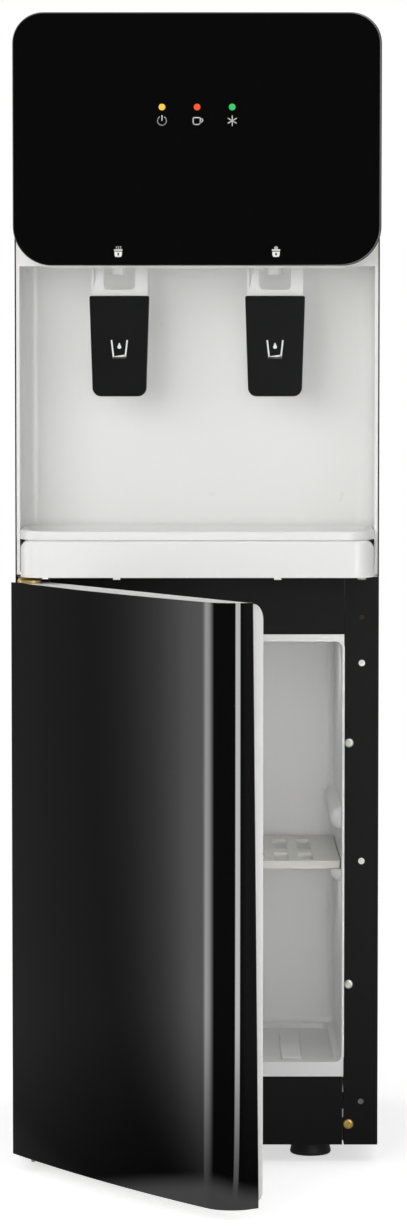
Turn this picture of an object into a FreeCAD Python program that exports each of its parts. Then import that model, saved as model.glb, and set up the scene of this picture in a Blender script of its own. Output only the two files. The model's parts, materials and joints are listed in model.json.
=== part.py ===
"""Floor-standing hot and cold water cooler with a storage compartment, millimetres, +Z up.

The origin is on the floor under the middle of the cabinet, +X is the viewer's right and the
front faces -Y. Depths written as "behind" are measured back from the steel front plane.
"""
import FreeCAD
import Part
import math
import os

os.makedirs("parts", exist_ok=True)
V = FreeCAD.Vector

# ---- Cabinet ----
body_width = 310.0
body_depth = 310.0
body_bottom = 15.0
body_top = 979.5
panel_sheet = 1.0
frame_sheet = 1.2
base_sheet = 2.0
seat_gap = 0.2            # between pieces that are screwed or clipped together
soft_gap = 0.3            # between a soft piece and its neighbour
run_gap = 0.05            # radial clearance of a turning fit
return_depth = 20.0       # folded edges of the frame
column_width = 29.0
frame_top = 504.8
top_member_height = 49.3
bottom_member_height = 59.3
member_side_gap = 1.4
member_tab_width = 12.0
member_tab_height = 14.0
member_tab_rise = 31.0    # from the lower edge of the frame to the tabs that hold the lower member
machine_bay = 105.0       # depth left behind the compartment for the cooling machinery
back_lip_lap = 4.0
vent_width = 60.0
vent_height = 4.0
vent_rows = 8
vent_rise = 95.8          # from the back cover's lower edge to its lowest vent

# ---- Compartment ----
liner_wall = 2.0
liner_gap = 0.5
liner_corner = 6.0
liner_side_flange = 1.5
liner_top_flange = 6.0
liner_sill = 12.5
liner_taper = 1.5
liner_back_corner = 6.0
pan_depth = 3.5           # how far the compartment floor lies under its front sill
pan_side_inset = 7.0
pan_corner = 9.0
rail_radius = 9.5
rail_under_shelf = 1.5    # from the middle of the lower rails up to the shelf
rail_front = 25.0
rail_back_gap = 9.0
rail_over_shelf = 27.4
floor_rib_width = 17.6
floor_rib_height = 4.0
floor_rib_x = 81.5
floor_rib_behind = 44.0    # free floor behind a floor rib
floor_rib_corner = 3.0
foam_thickness = 22.0
foam_side_gap = 1.0
foam_drop = 8.0           # how far the foam reaches under the compartment opening
shelf_top = 258.3
shelf_lip = 6.5
shelf_thickness = 2.8
shelf_front = 20.0
shelf_back_gap = 3.0
shelf_side_gap = 0.8
grid_hole = 12.4
grid_pitch = 20.85
grid_margin = 12.0
grid_front_margin = 5.0
grid_back_margin = 29.0
grid_web = 20.0
grid_front_share = 0.41   # share of the slot length that the front row takes
grid_corner = 1.5
shelf_rim = 3.0
shelf_front_corner = 3.0
shelf_back_corner = 8.0

# ---- Door, modelled shut and then swung open ----
door_open_angle = 54.9
door_under_frame = 2.6    # from the top of the frame down to the top of the door
door_under_body = 2.3     # how far the door hangs lower than the cabinet sheet
door_thickness = 45.0     # front of the hinge edge in front of the steel front plane
door_thinning = 3.7       # how much thinner the free edge is
door_bow = 7.3
door_edge_radius = 26.4
door_edge_return = 8.0
door_seam_lean = 6.0       # how much shorter the skin's return is at the top than at the bottom
skin_wall = 1.6
skin_over_core = 0.5      # how far the skin stands above the core at top and bottom
door_liner_back = 4.0
door_liner_inset = 2.0
door_liner_corner = 12.0
gasket_width = 5.5
gasket_from_edge = 15.5
gasket_over_member = 8.0  # how far the gasket overlaps the top member
gasket_under_member = 15.8
gasket_stop_gap = 0.5
pin_from_edge = 15.0
pin_from_front = 10.9
pin_radius = 3.0
pin_in_door = 16.0
bush_radius = 5.5
bush_flange_radius = 7.5
bracket_plate = 1.6
bracket_width = 20.0
low_bracket_width = 12.0
bracket_outer = 12.0      # from the pin to the bracket edge at the side of the cabinet
bracket_leg = 45.0
bracket_low_leg = 57.0
bracket_corner = 8.0
low_bracket_corner = 5.9
door_dish_margin = 30.0
door_dish_depth = 2.5
bracket_gap = 0.6         # between the door and each bracket plate
pin_tail = 3.8            # how far the lower pin hangs under its bracket
pin_tail_radius = 1.7

# ---- Upper front ----
fascia_gap = 0.8          # over the steel shelf that the upper front stands on
fascia_wall = 2.5
alcove_side_gap = 0.3
alcove_top = 769.0
alcove_depth = 60.0
alcove_corner = 14.0
head_reach = 45.0         # front of the control panel in front of the steel front plane
panel_side_gap = 0.3
panel_over_alcove = 0.6
panel_over_body = 1.5
panel_thickness = 5.0
panel_top_radius = 26.0
panel_bottom_radius = 33.0
panel_edge_round = 1.5
carrier_inset = 1.2
carrier_lip = 1.8         # how far the carrier shows under the panel
lip_notch_height = 1.3
lip_notches = ((-13.4, -6.4), (6.4, 13.4), (24.2, 27.8))   # outwards from the middle of each tap
lamp_radius = 2.8
lamp_pitch = 29.4
lamp_below_top = 79.0
lamp_proud = 0.8
lamp_gap = 0.05
board_behind_panel = 9.0
board_thickness = 1.6
board_width = 96.0
board_height = 34.0
board_post_radius = 3.0
board_window_gap = 3.0

# ---- Drip tray ----
skirt_height = 30.9
skirt_reach = 43.0
skirt_corner = 17.0
skirt_shoulder = 8.0      # rounding of the ends of the skirt's top, seen from the front
skirt_shoulder_over = 0.2   # the rounding starts this far outside the end, off the corner's tangent line
skirt_wall = 2.5
skirt_side_inset = 5.5
skirt_edge_round = 2.0
skirt_tab_x = 68.0
skirt_tab_width = 6.0
skirt_tab_height = 1.6
skirt_tab_length = 8.0
tray_over_skirt = 7.8
tray_side_gap = 0.3
tray_front_inset = 10.0
tray_corner = 28.0
rim_overhang = 4.0        # how far the rim stands out over the tray's body
rim_round = 1.5
tray_wall = 2.0
tray_ledge = 2.5
tray_back_gap = 3.0
grille_thickness = 2.5
grille_recess = 6.0
grille_gap = 0.6
grille_slot = 4.0
grille_slot_pitch = 9.0
grille_margin = 9.0

# ---- Taps ----
tap_offset = 66.2
tap_behind = 13.0
tap_bore_share = 0.6
tap_tail_share = 1 / 3
tap_inlet_drop = 8.0
tap_inlet_length = 14.0
tap_body_width = 24.0
tap_body_length = 20.0
tap_body_height = 34.0
tap_tail_length = 24.0
tap_tail_width = 18.0
tap_slot_width = 54.0
tap_slot_front = 3.0
tap_slot_length = 32.0
nozzle_radius = 7.2
nozzle_bore = 4.0
nozzle_drop = 7.0         # how far the nozzle hangs under the alcove ceiling
lever_width = 47.6
lever_thickness = 3.0
lever_window = 27.0
window_drop = 20.0
window_corner = 4.0
lever_behind_front = 4.0
gusset_width = 4.2
gusset_height = 18.0
gusset_depth = 2.0
gusset_edge = 2.0
clip_width = 6.0
clip_height = 8.0
clip_bar = 1.3
clip_proud = 0.6
clip_drop = 9.0
pivot_over_alcove = 15.0
pivot_behind = 19.0
pivot_radius = 1.5
ear_radius = 5.5
paddle_drop = 25.1
paddle_height = 85.3
paddle_top_width = 51.0
paddle_bottom_width = 45.4
paddle_corner = 7.3
paddle_top_corner = 1.5
pad_thickness = 4.0
pad_edge_round = 1.0
pad_rim = 1.8
spring_wire_radius = 0.4
spring_coil_radius = 2.6
spring_turns = 6
spring_end_gap = 0.8

# ---- Top, tanks and tubes ----
cover_height = 27.0       # from the top of the cabinet sheets to the top of the lid
cover_corner = 26.0
cover_wall = 2.5
cover_back_round = 2.0
well_rim = 25.6           # from the well to the edge of the cover at the sides
well_floor_radius = 62.0
well_depth = 46.0
bottle_behind = 166.0
neck_radius = 28.0        # bottle neck that the guard takes in
guard_wall = 3.0
guard_flange_radius = 44.0
guard_height = 34.0
probe_radius = 6.0
probe_height = 40.0
tank_neck_gap = 0.5
tank_under_guard = 21.3
cold_tank_radius = 74.0
cold_foam_wall = 22.0
tank_spacing = 39.8       # from the hot tank foam up to the cold tank bracket
tank_bracket_inset = 10.0
hot_tank_radius = 48.0
hot_tank_height = 118.0
hot_foam_wall = 14.0
tank_wall = 1.0
tube_radius = 5.0
tube_wall = 1.5
tube_turn_gap = 8.0
tube_bend = 9.0
hot_outlet_share = 0.8    # height of the hot outlet on its tank
cold_outlet_rise = 30.0

# ---- Cooling machinery, rear and underside ----
compressor_rear_gap = 0.8
compressor_radius = 39.0
compressor_stretch = 24.0
compressor_crown = 17.5
compressor_height = 112.0
grommet_radius = 8.0
grommet_height = 10.0
grommet_bore = 3.2
foot_plate = 2.0
foot_plate_share = 0.8    # depth of the foot plate in relation to the can
foot_plate_corner = 8.0
drier_radius = 9.0
drier_length = 90.0
drier_side_inset = 40.0
drier_rise = 12.0
condenser_bottom = 215.0
condenser_under_top = 99.5
condenser_pitch = 45.0
condenser_tube = 2.5
condenser_wire = 0.8
condenser_half_width = 112.0
condenser_stand_off = 14.0
condenser_wires = 25
condenser_wire_reach = 8.0
condenser_wire_inset = 4.0
stay_width = 8.0
stay_height = 14.0
stay_inset = 14.0
stay_turns = 7            # condenser turns under the lower stays
switch_width = 13.0
switch_height = 19.0
switch_under_top = 109.5
switch_bezel = 1.5
switch_wall = 2.0
switch_case_depth = 16.0
switch_room_depth = 11.0
switch_axle_depth = 4.0
switch_axle_radius = 1.5
rocker_gap = 0.3
rocker_end_gap = 1.3
rocker_proud = 0.6
switch_spacing = 40.0
rocker_angle = 10.0
inlet_radius = 9.0
inlet_height = 530.0
inlet_from_side = 23.0
inlet_wall = 3.0
inlet_flange = 2.5
inlet_flange_thickness = 3.0
inlet_sleeve = 7.0
spigot_radius = 8.0
spigot_height = 560.0
spigot_spacing = 60.0
spigot_reach = 8.0
spigot_inside = 14.0
spigot_wall = 3.0
cap_gap = 1.5
foot_top_radius = 15.0
foot_floor_radius = 18.4
foot_edge = 2.5
foot_side_inset = 56.7
foot_front_inset = 42.0
foot_rear_inset = 40.0
foot_stud_radius = 4.0
foot_stud_reach = 5.0

# ---- Fasteners ----
screw_head_radius = 3.85
screw_head_height = 2.0
screw_shank_radius = 1.9
screw_shank_length = 9.0
screw_from_column = 3.9   # from the inner edge of the column
screw_heights = (362.5, 154.3)
plug_radius = 2.75
plug_stem_radius = 2.25
plug_cap_height = 0.3
plug_stem_reach = 2.0
plug_from_column = 14.6
plug_heights = (431.1, 260.8)
open_hole_radius = 2.45
hinge_hole_drop = 34.8    # from the top of the frame
hinge_hole_rise = 37.5    # from the lower edge of the frame
yellow_head_radius = 4.3
yellow_screw_height = 33.0
flush_head_radius = 4.0
flush_head_height = 0.4
flush_shank_reach = 2.0
skirt_screw_x = 139.0
skirt_screw_behind = 6.8

# ---- Places worked out from the sizes above ----
front = -body_depth / 2
back = body_depth / 2
side = body_width / 2
inner_side = side - panel_sheet - seat_gap
column_inner = side - column_width
sheet_top = body_top - cover_height
frame_deck = frame_top + frame_sheet
top_member_bottom = frame_top - top_member_height
bottom_member_top = body_bottom + bottom_member_height
open_hole_heights = (frame_top - hinge_hole_drop, body_bottom + hinge_hole_rise)
screw_x = column_inner + screw_from_column
plug_x = column_inner + plug_from_column
liner_depth = body_depth - machine_bay
liner_half = column_inner - liner_gap
cavity_half = liner_half - liner_side_flange
cavity_bottom = bottom_member_top + liner_sill
cavity_top = top_member_bottom - liner_top_flange
cavity_floor = cavity_bottom - pan_depth
shelf_length = liner_depth - shelf_front - shelf_back_gap
door_top = frame_top - door_under_frame
door_bottom = body_bottom - door_under_body
gasket_top = top_member_bottom + gasket_over_member
gasket_bottom = bottom_member_top - gasket_under_member
fascia_bottom = frame_deck + fascia_gap
alcove_floor = fascia_bottom + fascia_wall
alcove_half = inner_side - fascia_wall - alcove_side_gap
head_front = front - head_reach
panel_half = side - panel_side_gap
panel_bottom = alcove_top + panel_over_alcove
panel_top = body_top + panel_over_body
lamp_height = panel_top - lamp_below_top
skirt_top = fascia_bottom + skirt_height
skirt_half = side - skirt_side_inset
tray_half = alcove_half - tray_side_gap
tray_rim_top = skirt_top + tray_over_skirt
pivot_height = alcove_top + pivot_over_alcove
tap_inlet_height = alcove_top + fascia_wall + tap_body_height - tap_inlet_drop
paddle_top = alcove_top - paddle_drop
paddle_bottom = paddle_top - paddle_height
bottle_y = front + bottle_behind
well_floor = body_top - well_depth
bracket_shelf_height = frame_deck + 2 * hot_foam_wall + hot_tank_height + tank_spacing
switch_height_z = body_top - switch_under_top
inlet_x = side - inlet_from_side
pin_x = -side + pin_from_edge
pin_y = front - door_thickness + pin_from_front
parts = {}


# ---- Helpers ----
def box(x0, x1, y0, y1, z0, z1):
    return Part.makeBox(x1 - x0, y1 - y0, z1 - z0, V(x0, y0, z0))


def rod(radius, start, end):
    along = V(*end) - V(*start)
    return Part.makeCylinder(radius, along.Length, V(*start), along)


def pipe(outer, inner, start, end):
    return rod(outer, start, end).cut(rod(inner, start, end))


def cut_all(shape, tools):
    for tool in tools:
        shape = shape.cut(tool)
    return shape


def mirrored(shape):
    return shape.mirror(V(0, 0, 0), V(1, 0, 0))


def outline(points, radii):
    """Closed wire through the points, each corner rounded by its radius."""
    edges = []
    count = len(points)
    ends = []
    for i in range(count):
        p, q, r = V(*points[i - 1]), V(*points[i]), V(*points[(i + 1) % count])
        if radii[i] <= 0:
            ends.append((q, None, q))
            continue
        a, b = (p - q).normalize(), (r - q).normalize()
        half = a.getAngle(b) / 2
        reach = radii[i] / math.tan(half)
        middle = q + (a + b).normalize() * (radii[i] / math.sin(half) - radii[i])
        ends.append((q + a * reach, middle, q + b * reach))
    for i in range(count):
        start, middle, end = ends[i]
        if middle is not None:
            edges.append(Part.Arc(start, middle, end).toShape())
        if (ends[(i + 1) % count][0] - end).Length > 1e-6:
            edges.append(Part.LineSegment(end, ends[(i + 1) % count][0]).toShape())
    return Part.Wire(edges)


def slab(points, radii, thickness):
    return Part.Face(outline(points, radii)).extrude(V(*thickness))


def front_plate(x0, x1, z0, z1, y0, y1, low_radius, high_radius):
    """Plate facing the front, with its own corner radii at the bottom and the top."""
    points = [(x0, y0, z0), (x1, y0, z0), (x1, y0, z1), (x0, y0, z1)]
    return slab(points, [low_radius, low_radius, high_radius, high_radius], (0, y1 - y0, 0))


def flat_plate(x0, x1, y0, y1, z0, z1, front_radius, back_radius):
    """Plate lying flat, with its own corner radii at the front and the back."""
    points = [(x0, y0, z0), (x1, y0, z0), (x1, y1, z0), (x0, y1, z0)]
    return slab(points, [front_radius, front_radius, back_radius, back_radius], (0, 0, z1 - z0))


def pan_head(radius, height, x, y, z):
    """Domed screw head on a face that looks to the front."""
    head = rod(radius, (x, y, z), (x, y - height, z))
    return head.makeFillet(height * 0.6, [edge for edge in head.Edges
                                          if abs(edge.CenterOfMass.y - (y - height)) < 1e-6])


def keep(name, shape):
    parts[name] = shape


# ---- Cabinet shell and frame ----
def side_panels():
    x0 = side - panel_sheet
    panel = box(x0, side, front, back, body_bottom, sheet_top)
    fold = box(side - return_depth / 2, x0, back - panel_sheet, back, body_bottom, sheet_top)
    panel = panel.fuse(fold).removeSplitter()
    keep("side_panel_right", panel)
    keep("side_panel_left", mirrored(panel))


def back_cover():
    x1 = side - return_depth / 2 - seat_gap
    y1 = back
    z0 = frame_deck + seat_gap
    cover = box(-x1, x1, y1 - panel_sheet, y1, z0, sheet_top)
    lip_reach = return_depth / 2 - panel_sheet - seat_gap
    for sign in (-1, 1):
        ends = sorted((sign * (x1 - back_lip_lap), sign * (x1 + lip_reach)))
        cover = cover.fuse(box(ends[0], ends[1], y1 - 2 * panel_sheet, y1 - panel_sheet, z0, sheet_top))
    y0, y2 = y1 - 5, y1 + 5
    tools = []
    for sign in (-1, 1):
        x = sign * switch_spacing / 2
        tools.append(box(x - switch_width / 2, x + switch_width / 2, y0, y2,
                         switch_height_z - switch_height / 2, switch_height_z + switch_height / 2))
        x = sign * spigot_spacing / 2
        tools.append(rod(spigot_radius + run_gap, (x, y0, spigot_height), (x, y2, spigot_height)))
    tools.append(rod(inlet_radius + run_gap, (inlet_x, y0, inlet_height), (inlet_x, y2, inlet_height)))
    for row in range(vent_rows):
        z = z0 + vent_rise + row * 3 * vent_height
        for sign in (-1, 1):
            x = sign * (x1 / 2 + vent_width / 4)
            tools.append(box(x - vent_width / 2, x + vent_width / 2, y0, y2, z, z + vent_height))
    keep("back_cover", cut_all(cover, tools).removeSplitter())


def base_plate():
    x1 = inner_side
    y0 = front + return_depth + seat_gap
    y1 = back - panel_sheet - seat_gap
    plate = box(-x1, x1, y0, y1, body_bottom, body_bottom + base_sheet)
    rear_lip = box(-x1, x1, y1 - base_sheet, y1, body_bottom, body_bottom + return_depth)
    front_lip = box(-x1, x1, y0, y0 + base_sheet, body_bottom, body_bottom + return_depth)
    keep("base_plate", plate.fuse([rear_lip, front_lip]).removeSplitter())


def front_columns():
    x1 = inner_side
    web = box(column_inner, x1, front, front + frame_sheet, body_bottom, frame_top)
    inner_fold = box(column_inner, column_inner + frame_sheet, front, front + return_depth,
                     body_bottom, frame_top)
    outer_fold = box(x1 - frame_sheet, x1, front, front + return_depth, body_bottom, frame_top)
    column = web.fuse([inner_fold, outer_fold]).removeSplitter()
    tools = []
    y0, y2 = front - 1, front + 5
    for z in open_hole_heights:
        tools.append(rod(open_hole_radius, (plug_x, y0, z), (plug_x, y2, z)))
    for z in plug_heights:
        tools.append(rod(plug_stem_radius, (plug_x, y0, z), (plug_x, y2, z)))
    for z in screw_heights + (yellow_screw_height,):
        tools.append(rod(screw_shank_radius, (screw_x, y0, z), (screw_x, y2, z)))
    column = cut_all(column, tools)
    keep("front_column_right", column)
    plate_z = door_top + bracket_gap
    notch = box(-side, -column_inner + 1, front - 1, front + 2 * frame_sheet + bracket_plate,
                plate_z, frame_top + 1)
    keep("front_column_left", mirrored(column).cut(notch))


def cross_members():
    x1 = column_inner - seat_gap
    top = box(-x1, x1, front, front + frame_sheet, top_member_bottom + seat_gap, frame_top)
    top_fold = box(-x1, x1, front, front + return_depth, frame_top - frame_sheet, frame_top)
    keep("top_cross_member", top.fuse(top_fold).removeSplitter())
    x1 = column_inner - member_side_gap
    bottom = box(-x1, x1, front, front + frame_sheet, body_bottom, bottom_member_top - seat_gap)
    bottom_fold = box(-x1, x1, front, front + return_depth, body_bottom, body_bottom + frame_sheet)
    tab_low = body_bottom + member_tab_rise
    tab_reach = member_side_gap + frame_sheet * 2
    bottom = bottom.fuse(bottom_fold)
    for sign in (-1, 1):
        ends = sorted((sign * (x1 - member_tab_width), sign * (column_inner - seat_gap)))
        bottom = bottom.fuse(box(ends[0], ends[1], front + frame_sheet, front + frame_sheet + tab_reach,
                                 tab_low, tab_low + member_tab_height))
    keep("bottom_cross_member", bottom.removeSplitter())


def shelves_inside():
    """Steel shelf over the compartment and the bracket that carries the cold tank."""
    x1 = inner_side
    y0 = front + seat_gap
    y1 = back - 2 * panel_sheet - seat_gap
    shelf = box(-x1, x1, y0, y1, frame_top, frame_deck)
    keep("mid_shelf", shelf)
    y0 = front + alcove_depth + fascia_wall + frame_sheet
    y1 = back - 2 * panel_sheet - tank_bracket_inset
    plate = box(-x1, x1, y0, y1, bracket_shelf_height, bracket_shelf_height + frame_sheet)
    for sign in (-1, 1):
        ends = sorted((sign * x1, sign * (x1 - frame_sheet)))
        plate = plate.fuse(box(ends[0], ends[1], y0, y1, bracket_shelf_height - return_depth,
                               bracket_shelf_height + frame_sheet))
    hole = rod(hot_tank_radius, (0, bottle_y, bracket_shelf_height - 5),
               (0, bottle_y, bracket_shelf_height + 5))
    keep("tank_bracket", plate.cut(hole).removeSplitter())


# ---- Compartment ----
def tapered_block(half, z0, z1, y0, y1, taper, radius, grow):
    """Block that narrows from its front face to its back face, with rounded long edges."""
    near = front_wire(half + grow, z0 - grow, z1 + grow, y0, radius + grow)
    far = front_wire(half - taper + grow, z0 + taper - grow, z1 - taper + grow, y1, radius + grow)
    return Part.makeLoft([near, far], True, True)


def front_wire(half, z0, z1, y, radius):
    points = [(-half, y, z0), (half, y, z0), (half, y, z1), (-half, y, z1)]
    return outline(points, [radius] * 4)


def compartment():
    y0 = front
    y1 = front + liner_depth
    cavity = tapered_block(cavity_half, cavity_bottom, cavity_top, y0, y1, liner_taper, liner_corner, 0)
    back_rim = [edge for edge in cavity.Edges if edge.BoundBox.YMin > y1 - 1e-3]
    cavity = cavity.makeFillet(liner_back_corner, back_rim)
    pan_half = cavity_half - pan_side_inset
    pan_top = cavity_bottom + liner_back_corner
    cavity = cavity.fuse(flat_plate(-pan_half, pan_half, y0 + liner_sill, y1 - liner_back_corner,
                                    cavity_floor, pan_top, pan_corner, pan_corner))
    outer = tapered_block(cavity_half, cavity_bottom, cavity_top, y0, y1 + liner_wall, liner_taper,
                          liner_corner, liner_wall)
    grown = pan_half + liner_wall
    outer = outer.fuse(flat_plate(-grown, grown, y0 + liner_sill - liner_wall, y1, cavity_floor - liner_wall,
                                  pan_top, pan_corner + liner_wall, pan_corner))
    flange = box(-liner_half, liner_half, y0, y0 + liner_wall, bottom_member_top, top_member_bottom)
    shell = outer.fuse(flange).cut(cavity)
    ribs = []
    seat = shelf_top - shelf_lip - seat_gap
    start, end = y0 + rail_front, y1 - rail_back_gap
    for sign in (-1, 1):
        x = sign * cavity_half
        for z in (seat - rail_under_shelf, shelf_top + rail_over_shelf + rail_radius):
            rail = rod(rail_radius, (x, start, z), (x, end, z))
            rail = rail.fuse(Part.makeSphere(rail_radius, V(x, start, z)))
            if z < seat:
                reach = 2 * rail_radius
                rail = rail.cut(box(x - reach, x + reach, y0, y1, seat, seat + reach))
            ribs.append(rail)
        x = sign * floor_rib_x
        rib = flat_plate(x - floor_rib_width / 2, x + floor_rib_width / 2, y0 + liner_sill + pan_corner,
                         y1 - floor_rib_behind, cavity_floor - 1, cavity_floor + floor_rib_height,
                         floor_rib_corner, floor_rib_corner)
        top = [edge for edge in rib.Edges if edge.BoundBox.ZMin > cavity_floor + floor_rib_height - 1e-3]
        ribs.append(rib.makeFillet(floor_rib_height / 3, top))
    for rib in ribs:
        shell = shell.fuse(rib.common(outer))
    keep("compartment_liner", shell.removeSplitter())

    half = inner_side - foam_side_gap
    block = box(-half, half, y0 + return_depth + base_sheet + foam_side_gap, y1 + foam_thickness,
                bottom_member_top - foam_drop, cavity_top + foam_thickness)
    keep("compartment_foam", block.cut(outer))


def shelf():
    y0 = front + shelf_front
    y1 = y0 + shelf_length
    slope = liner_taper / liner_depth
    near = cavity_half - shelf_side_gap - slope * shelf_front
    far = near - slope * shelf_length
    z0 = shelf_top - shelf_lip
    points = [(-near, y0, z0), (near, y0, z0), (far, y1, z0), (-far, y1, z0)]
    front_corner, back_corner = shelf_front_corner, shelf_back_corner
    plate = slab(points, [front_corner, front_corner, back_corner, back_corner], (0, 0, shelf_lip))
    rim = shelf_rim
    under_points = [(-near + rim, y0 + rim, z0 - 1), (near - rim, y0 + rim, z0 - 1),
                    (far - rim, y1 - rim, z0 - 1), (-far + rim, y1 - rim, z0 - 1)]
    under = slab(under_points, [front_corner / 2] * 2 + [back_corner / 2] * 2,
                 (0, 0, shelf_lip - shelf_thickness + 1))
    plate = plate.cut(under)
    columns = int((2 * (far - grid_margin) + grid_pitch - grid_hole) / grid_pitch)
    slots = shelf_length - grid_front_margin - grid_web - grid_back_margin
    front_length = slots * grid_front_share
    rows = ((y0 + grid_front_margin, front_length),
            (y0 + grid_front_margin + front_length + grid_web, slots - front_length))
    tools = []
    for y, length in rows:
        for column in range(columns):
            x = (column - (columns - 1) / 2) * grid_pitch
            tools.append(flat_plate(x - grid_hole / 2, x + grid_hole / 2, y, y + length,
                                    z0 - 1, shelf_top + 1, grid_corner, grid_corner))
    keep("shelf", cut_all(plate, tools).removeSplitter())


# ---- Feet, screws and plugs ----
def feet():
    places = [(x, y) for x in (-side + foot_side_inset, side - foot_side_inset)
              for y in (front + foot_front_inset, back - foot_rear_inset)]
    stud_top = body_bottom + base_sheet + foot_stud_reach
    bodies = []
    for x, y in places:
        cone = Part.makeCone(foot_floor_radius, foot_top_radius, body_bottom, V(x, y, 0))
        rim = [edge for edge in cone.Edges if abs(edge.CenterOfMass.z) < 1e-6]
        cone = cone.makeFillet(foot_edge, rim)
        stud = rod(foot_stud_radius, (x, y, body_bottom), (x, y, stud_top))
        bodies.append(cone.fuse(stud).removeSplitter())
    keep("feet", Part.makeCompound(bodies))
    keep("base_plate", cut_all(parts["base_plate"], [
        rod(foot_stud_radius + run_gap, (x, y, body_bottom - 1), (x, y, stud_top)) for x, y in places]))


def fasteners():
    silver, yellow, plugs = [], [], []
    for sign in (-1, 1):
        x = sign * screw_x
        for z in screw_heights:
            shank = rod(screw_shank_radius, (x, front, z), (x, front + screw_shank_length, z))
            silver.append(pan_head(screw_head_radius, screw_head_height, x, front, z).fuse(shank))
        z = yellow_screw_height
        shank = rod(screw_shank_radius, (x, front, z), (x, front + screw_shank_length, z))
        yellow.append(pan_head(yellow_head_radius, screw_head_height, x, front, z).fuse(shank))
        x = sign * plug_x
        for z in plug_heights:
            cap = rod(plug_radius, (x, front - plug_cap_height, z), (x, front, z))
            stem = rod(plug_stem_radius, (x, front, z), (x, front + frame_sheet + plug_stem_reach, z))
            plugs.append(cap.fuse(stem))
    for z in open_hole_heights:
        x = -plug_x
        shank_end = front + frame_sheet + bracket_plate + flush_shank_reach
        head = rod(flush_head_radius, (x, front - flush_head_height, z), (x, front, z))
        yellow.append(head.fuse(rod(screw_shank_radius, (x, front, z), (x, shank_end, z))))
    x, y = skirt_screw_x, front - skirt_reach + skirt_screw_behind
    silver.append(rod(screw_head_radius, (x, y, fascia_bottom - screw_head_height), (x, y, fascia_bottom)))
    keep("column_screws", Part.makeCompound(silver))
    keep("yellow_screws", Part.makeCompound(yellow))
    keep("hole_plugs", Part.makeCompound(plugs))


# ---- Door ----
def door_wire(inset, depth_y):
    """Plan outline of the door at height 0, moved inwards by the inset, back to the given Y."""
    width = body_width
    u = width - door_edge_radius

    def bowed(at):
        share = at / width
        return front - door_thickness + door_thinning * share - 4 * door_bow * share * (1 - share)

    slope = (bowed(u + 1) - bowed(u - 1)) / 2
    lean = math.atan(slope)
    u += door_edge_radius * math.sin(lean)
    start = V(-side, bowed(0), 0)
    end = V(-side + u, bowed(u), 0)
    nose_normal = V(math.sin(lean), -math.cos(lean), 0)
    nose = end - nose_normal * door_edge_radius
    radius = door_edge_radius - inset
    p0 = V(-side + inset, bowed(inset) + inset, 0)
    pm = V(-side + u / 2, bowed(u / 2) + inset, 0)
    p1 = nose + nose_normal * radius
    half = (math.pi / 2 - lean) / 2
    p2 = nose + V(math.sin(lean + half), -math.cos(lean + half), 0) * radius
    p3 = nose + V(radius, 0, 0)
    p4 = V(p3.x, depth_y, 0)
    p5 = V(start.x + inset, depth_y, 0)
    return Part.Wire([
        Part.Arc(p0, pm, p1).toShape(),
        Part.Arc(p1, p2, p3).toShape(),
        Part.LineSegment(p3, p4).toShape(),
        Part.LineSegment(p4, p5).toShape(),
        Part.LineSegment(p5, p0).toShape(),
    ])


def raised(wire, z0, z1):
    face = Part.Face(wire)
    face.translate(V(0, 0, z0))
    return face.extrude(V(0, 0, z1 - z0))


def swung(shape):
    """Turn a door piece from its shut place to its open one."""
    turned = shape.copy()
    turned.rotate(V(pin_x, pin_y, 0), V(0, 0, 1), -door_open_angle)
    return turned


def door():
    share = (body_width - door_edge_radius) / body_width
    nose_front = door_thickness - door_thinning * share + 4 * door_bow * share * (1 - share)
    skin_back = front - nose_front + door_edge_radius + door_edge_return
    outer = raised(door_wire(0, skin_back), door_bottom, door_top)
    inner = raised(door_wire(skin_wall, skin_back + 1), door_bottom - 1, door_top + 1)
    # The seam between the black skin and the white liner leans: everything behind it is white.
    far = front + 1
    profile = Part.makePolygon([V(-side - 1, skin_back, door_bottom), V(-side - 1, far, door_bottom),
                                V(-side - 1, far, door_top), V(-side - 1, skin_back - door_seam_lean, door_top),
                                V(-side - 1, skin_back, door_bottom)])
    behind_seam = Part.Face(profile).extrude(V(body_width + 2, 0, 0))
    keep("door_skin", swung(outer.cut(inner).cut(behind_seam)))

    z0, z1 = door_bottom + skin_over_core, door_top - skin_over_core
    core = raised(door_wire(skin_wall, skin_back), z0, z1)
    for ends in ((z0, z0 + pin_in_door), (z1 - pin_in_door, z1)):
        core = core.cut(rod(bush_radius, (pin_x, pin_y, ends[0]), (pin_x, pin_y, ends[1])))
    keep("door_core", swung(core.cut(behind_seam)))

    inset = door_liner_inset
    panel = front_plate(-side + inset, side - inset, z0 + inset, z1 - inset, skin_back - door_seam_lean,
                        front - door_liner_back, door_liner_corner, door_liner_corner).common(behind_seam)
    margin = inset + door_dish_margin
    dish = front_plate(-side + margin, side - margin, z0 + margin + door_dish_margin,
                       z1 - margin - door_dish_margin, front - door_liner_back - door_dish_depth,
                       front - door_liner_back + 1, door_liner_corner, door_liner_corner)
    keep("door_liner", swung(panel.cut(dish)))

    x = side - gasket_from_edge
    y0, y1 = front - door_liner_back, front - gasket_stop_gap
    w = gasket_width
    seal = front_plate(-x, x, gasket_bottom, gasket_top, y0, y1, w * 2, w * 2)
    hole = front_plate(-x + w, x - w, gasket_bottom + w, gasket_top - w, y0 - 1, y1 + 1, w, w)
    keep("door_gasket", swung(seal.cut(hole)))


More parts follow.
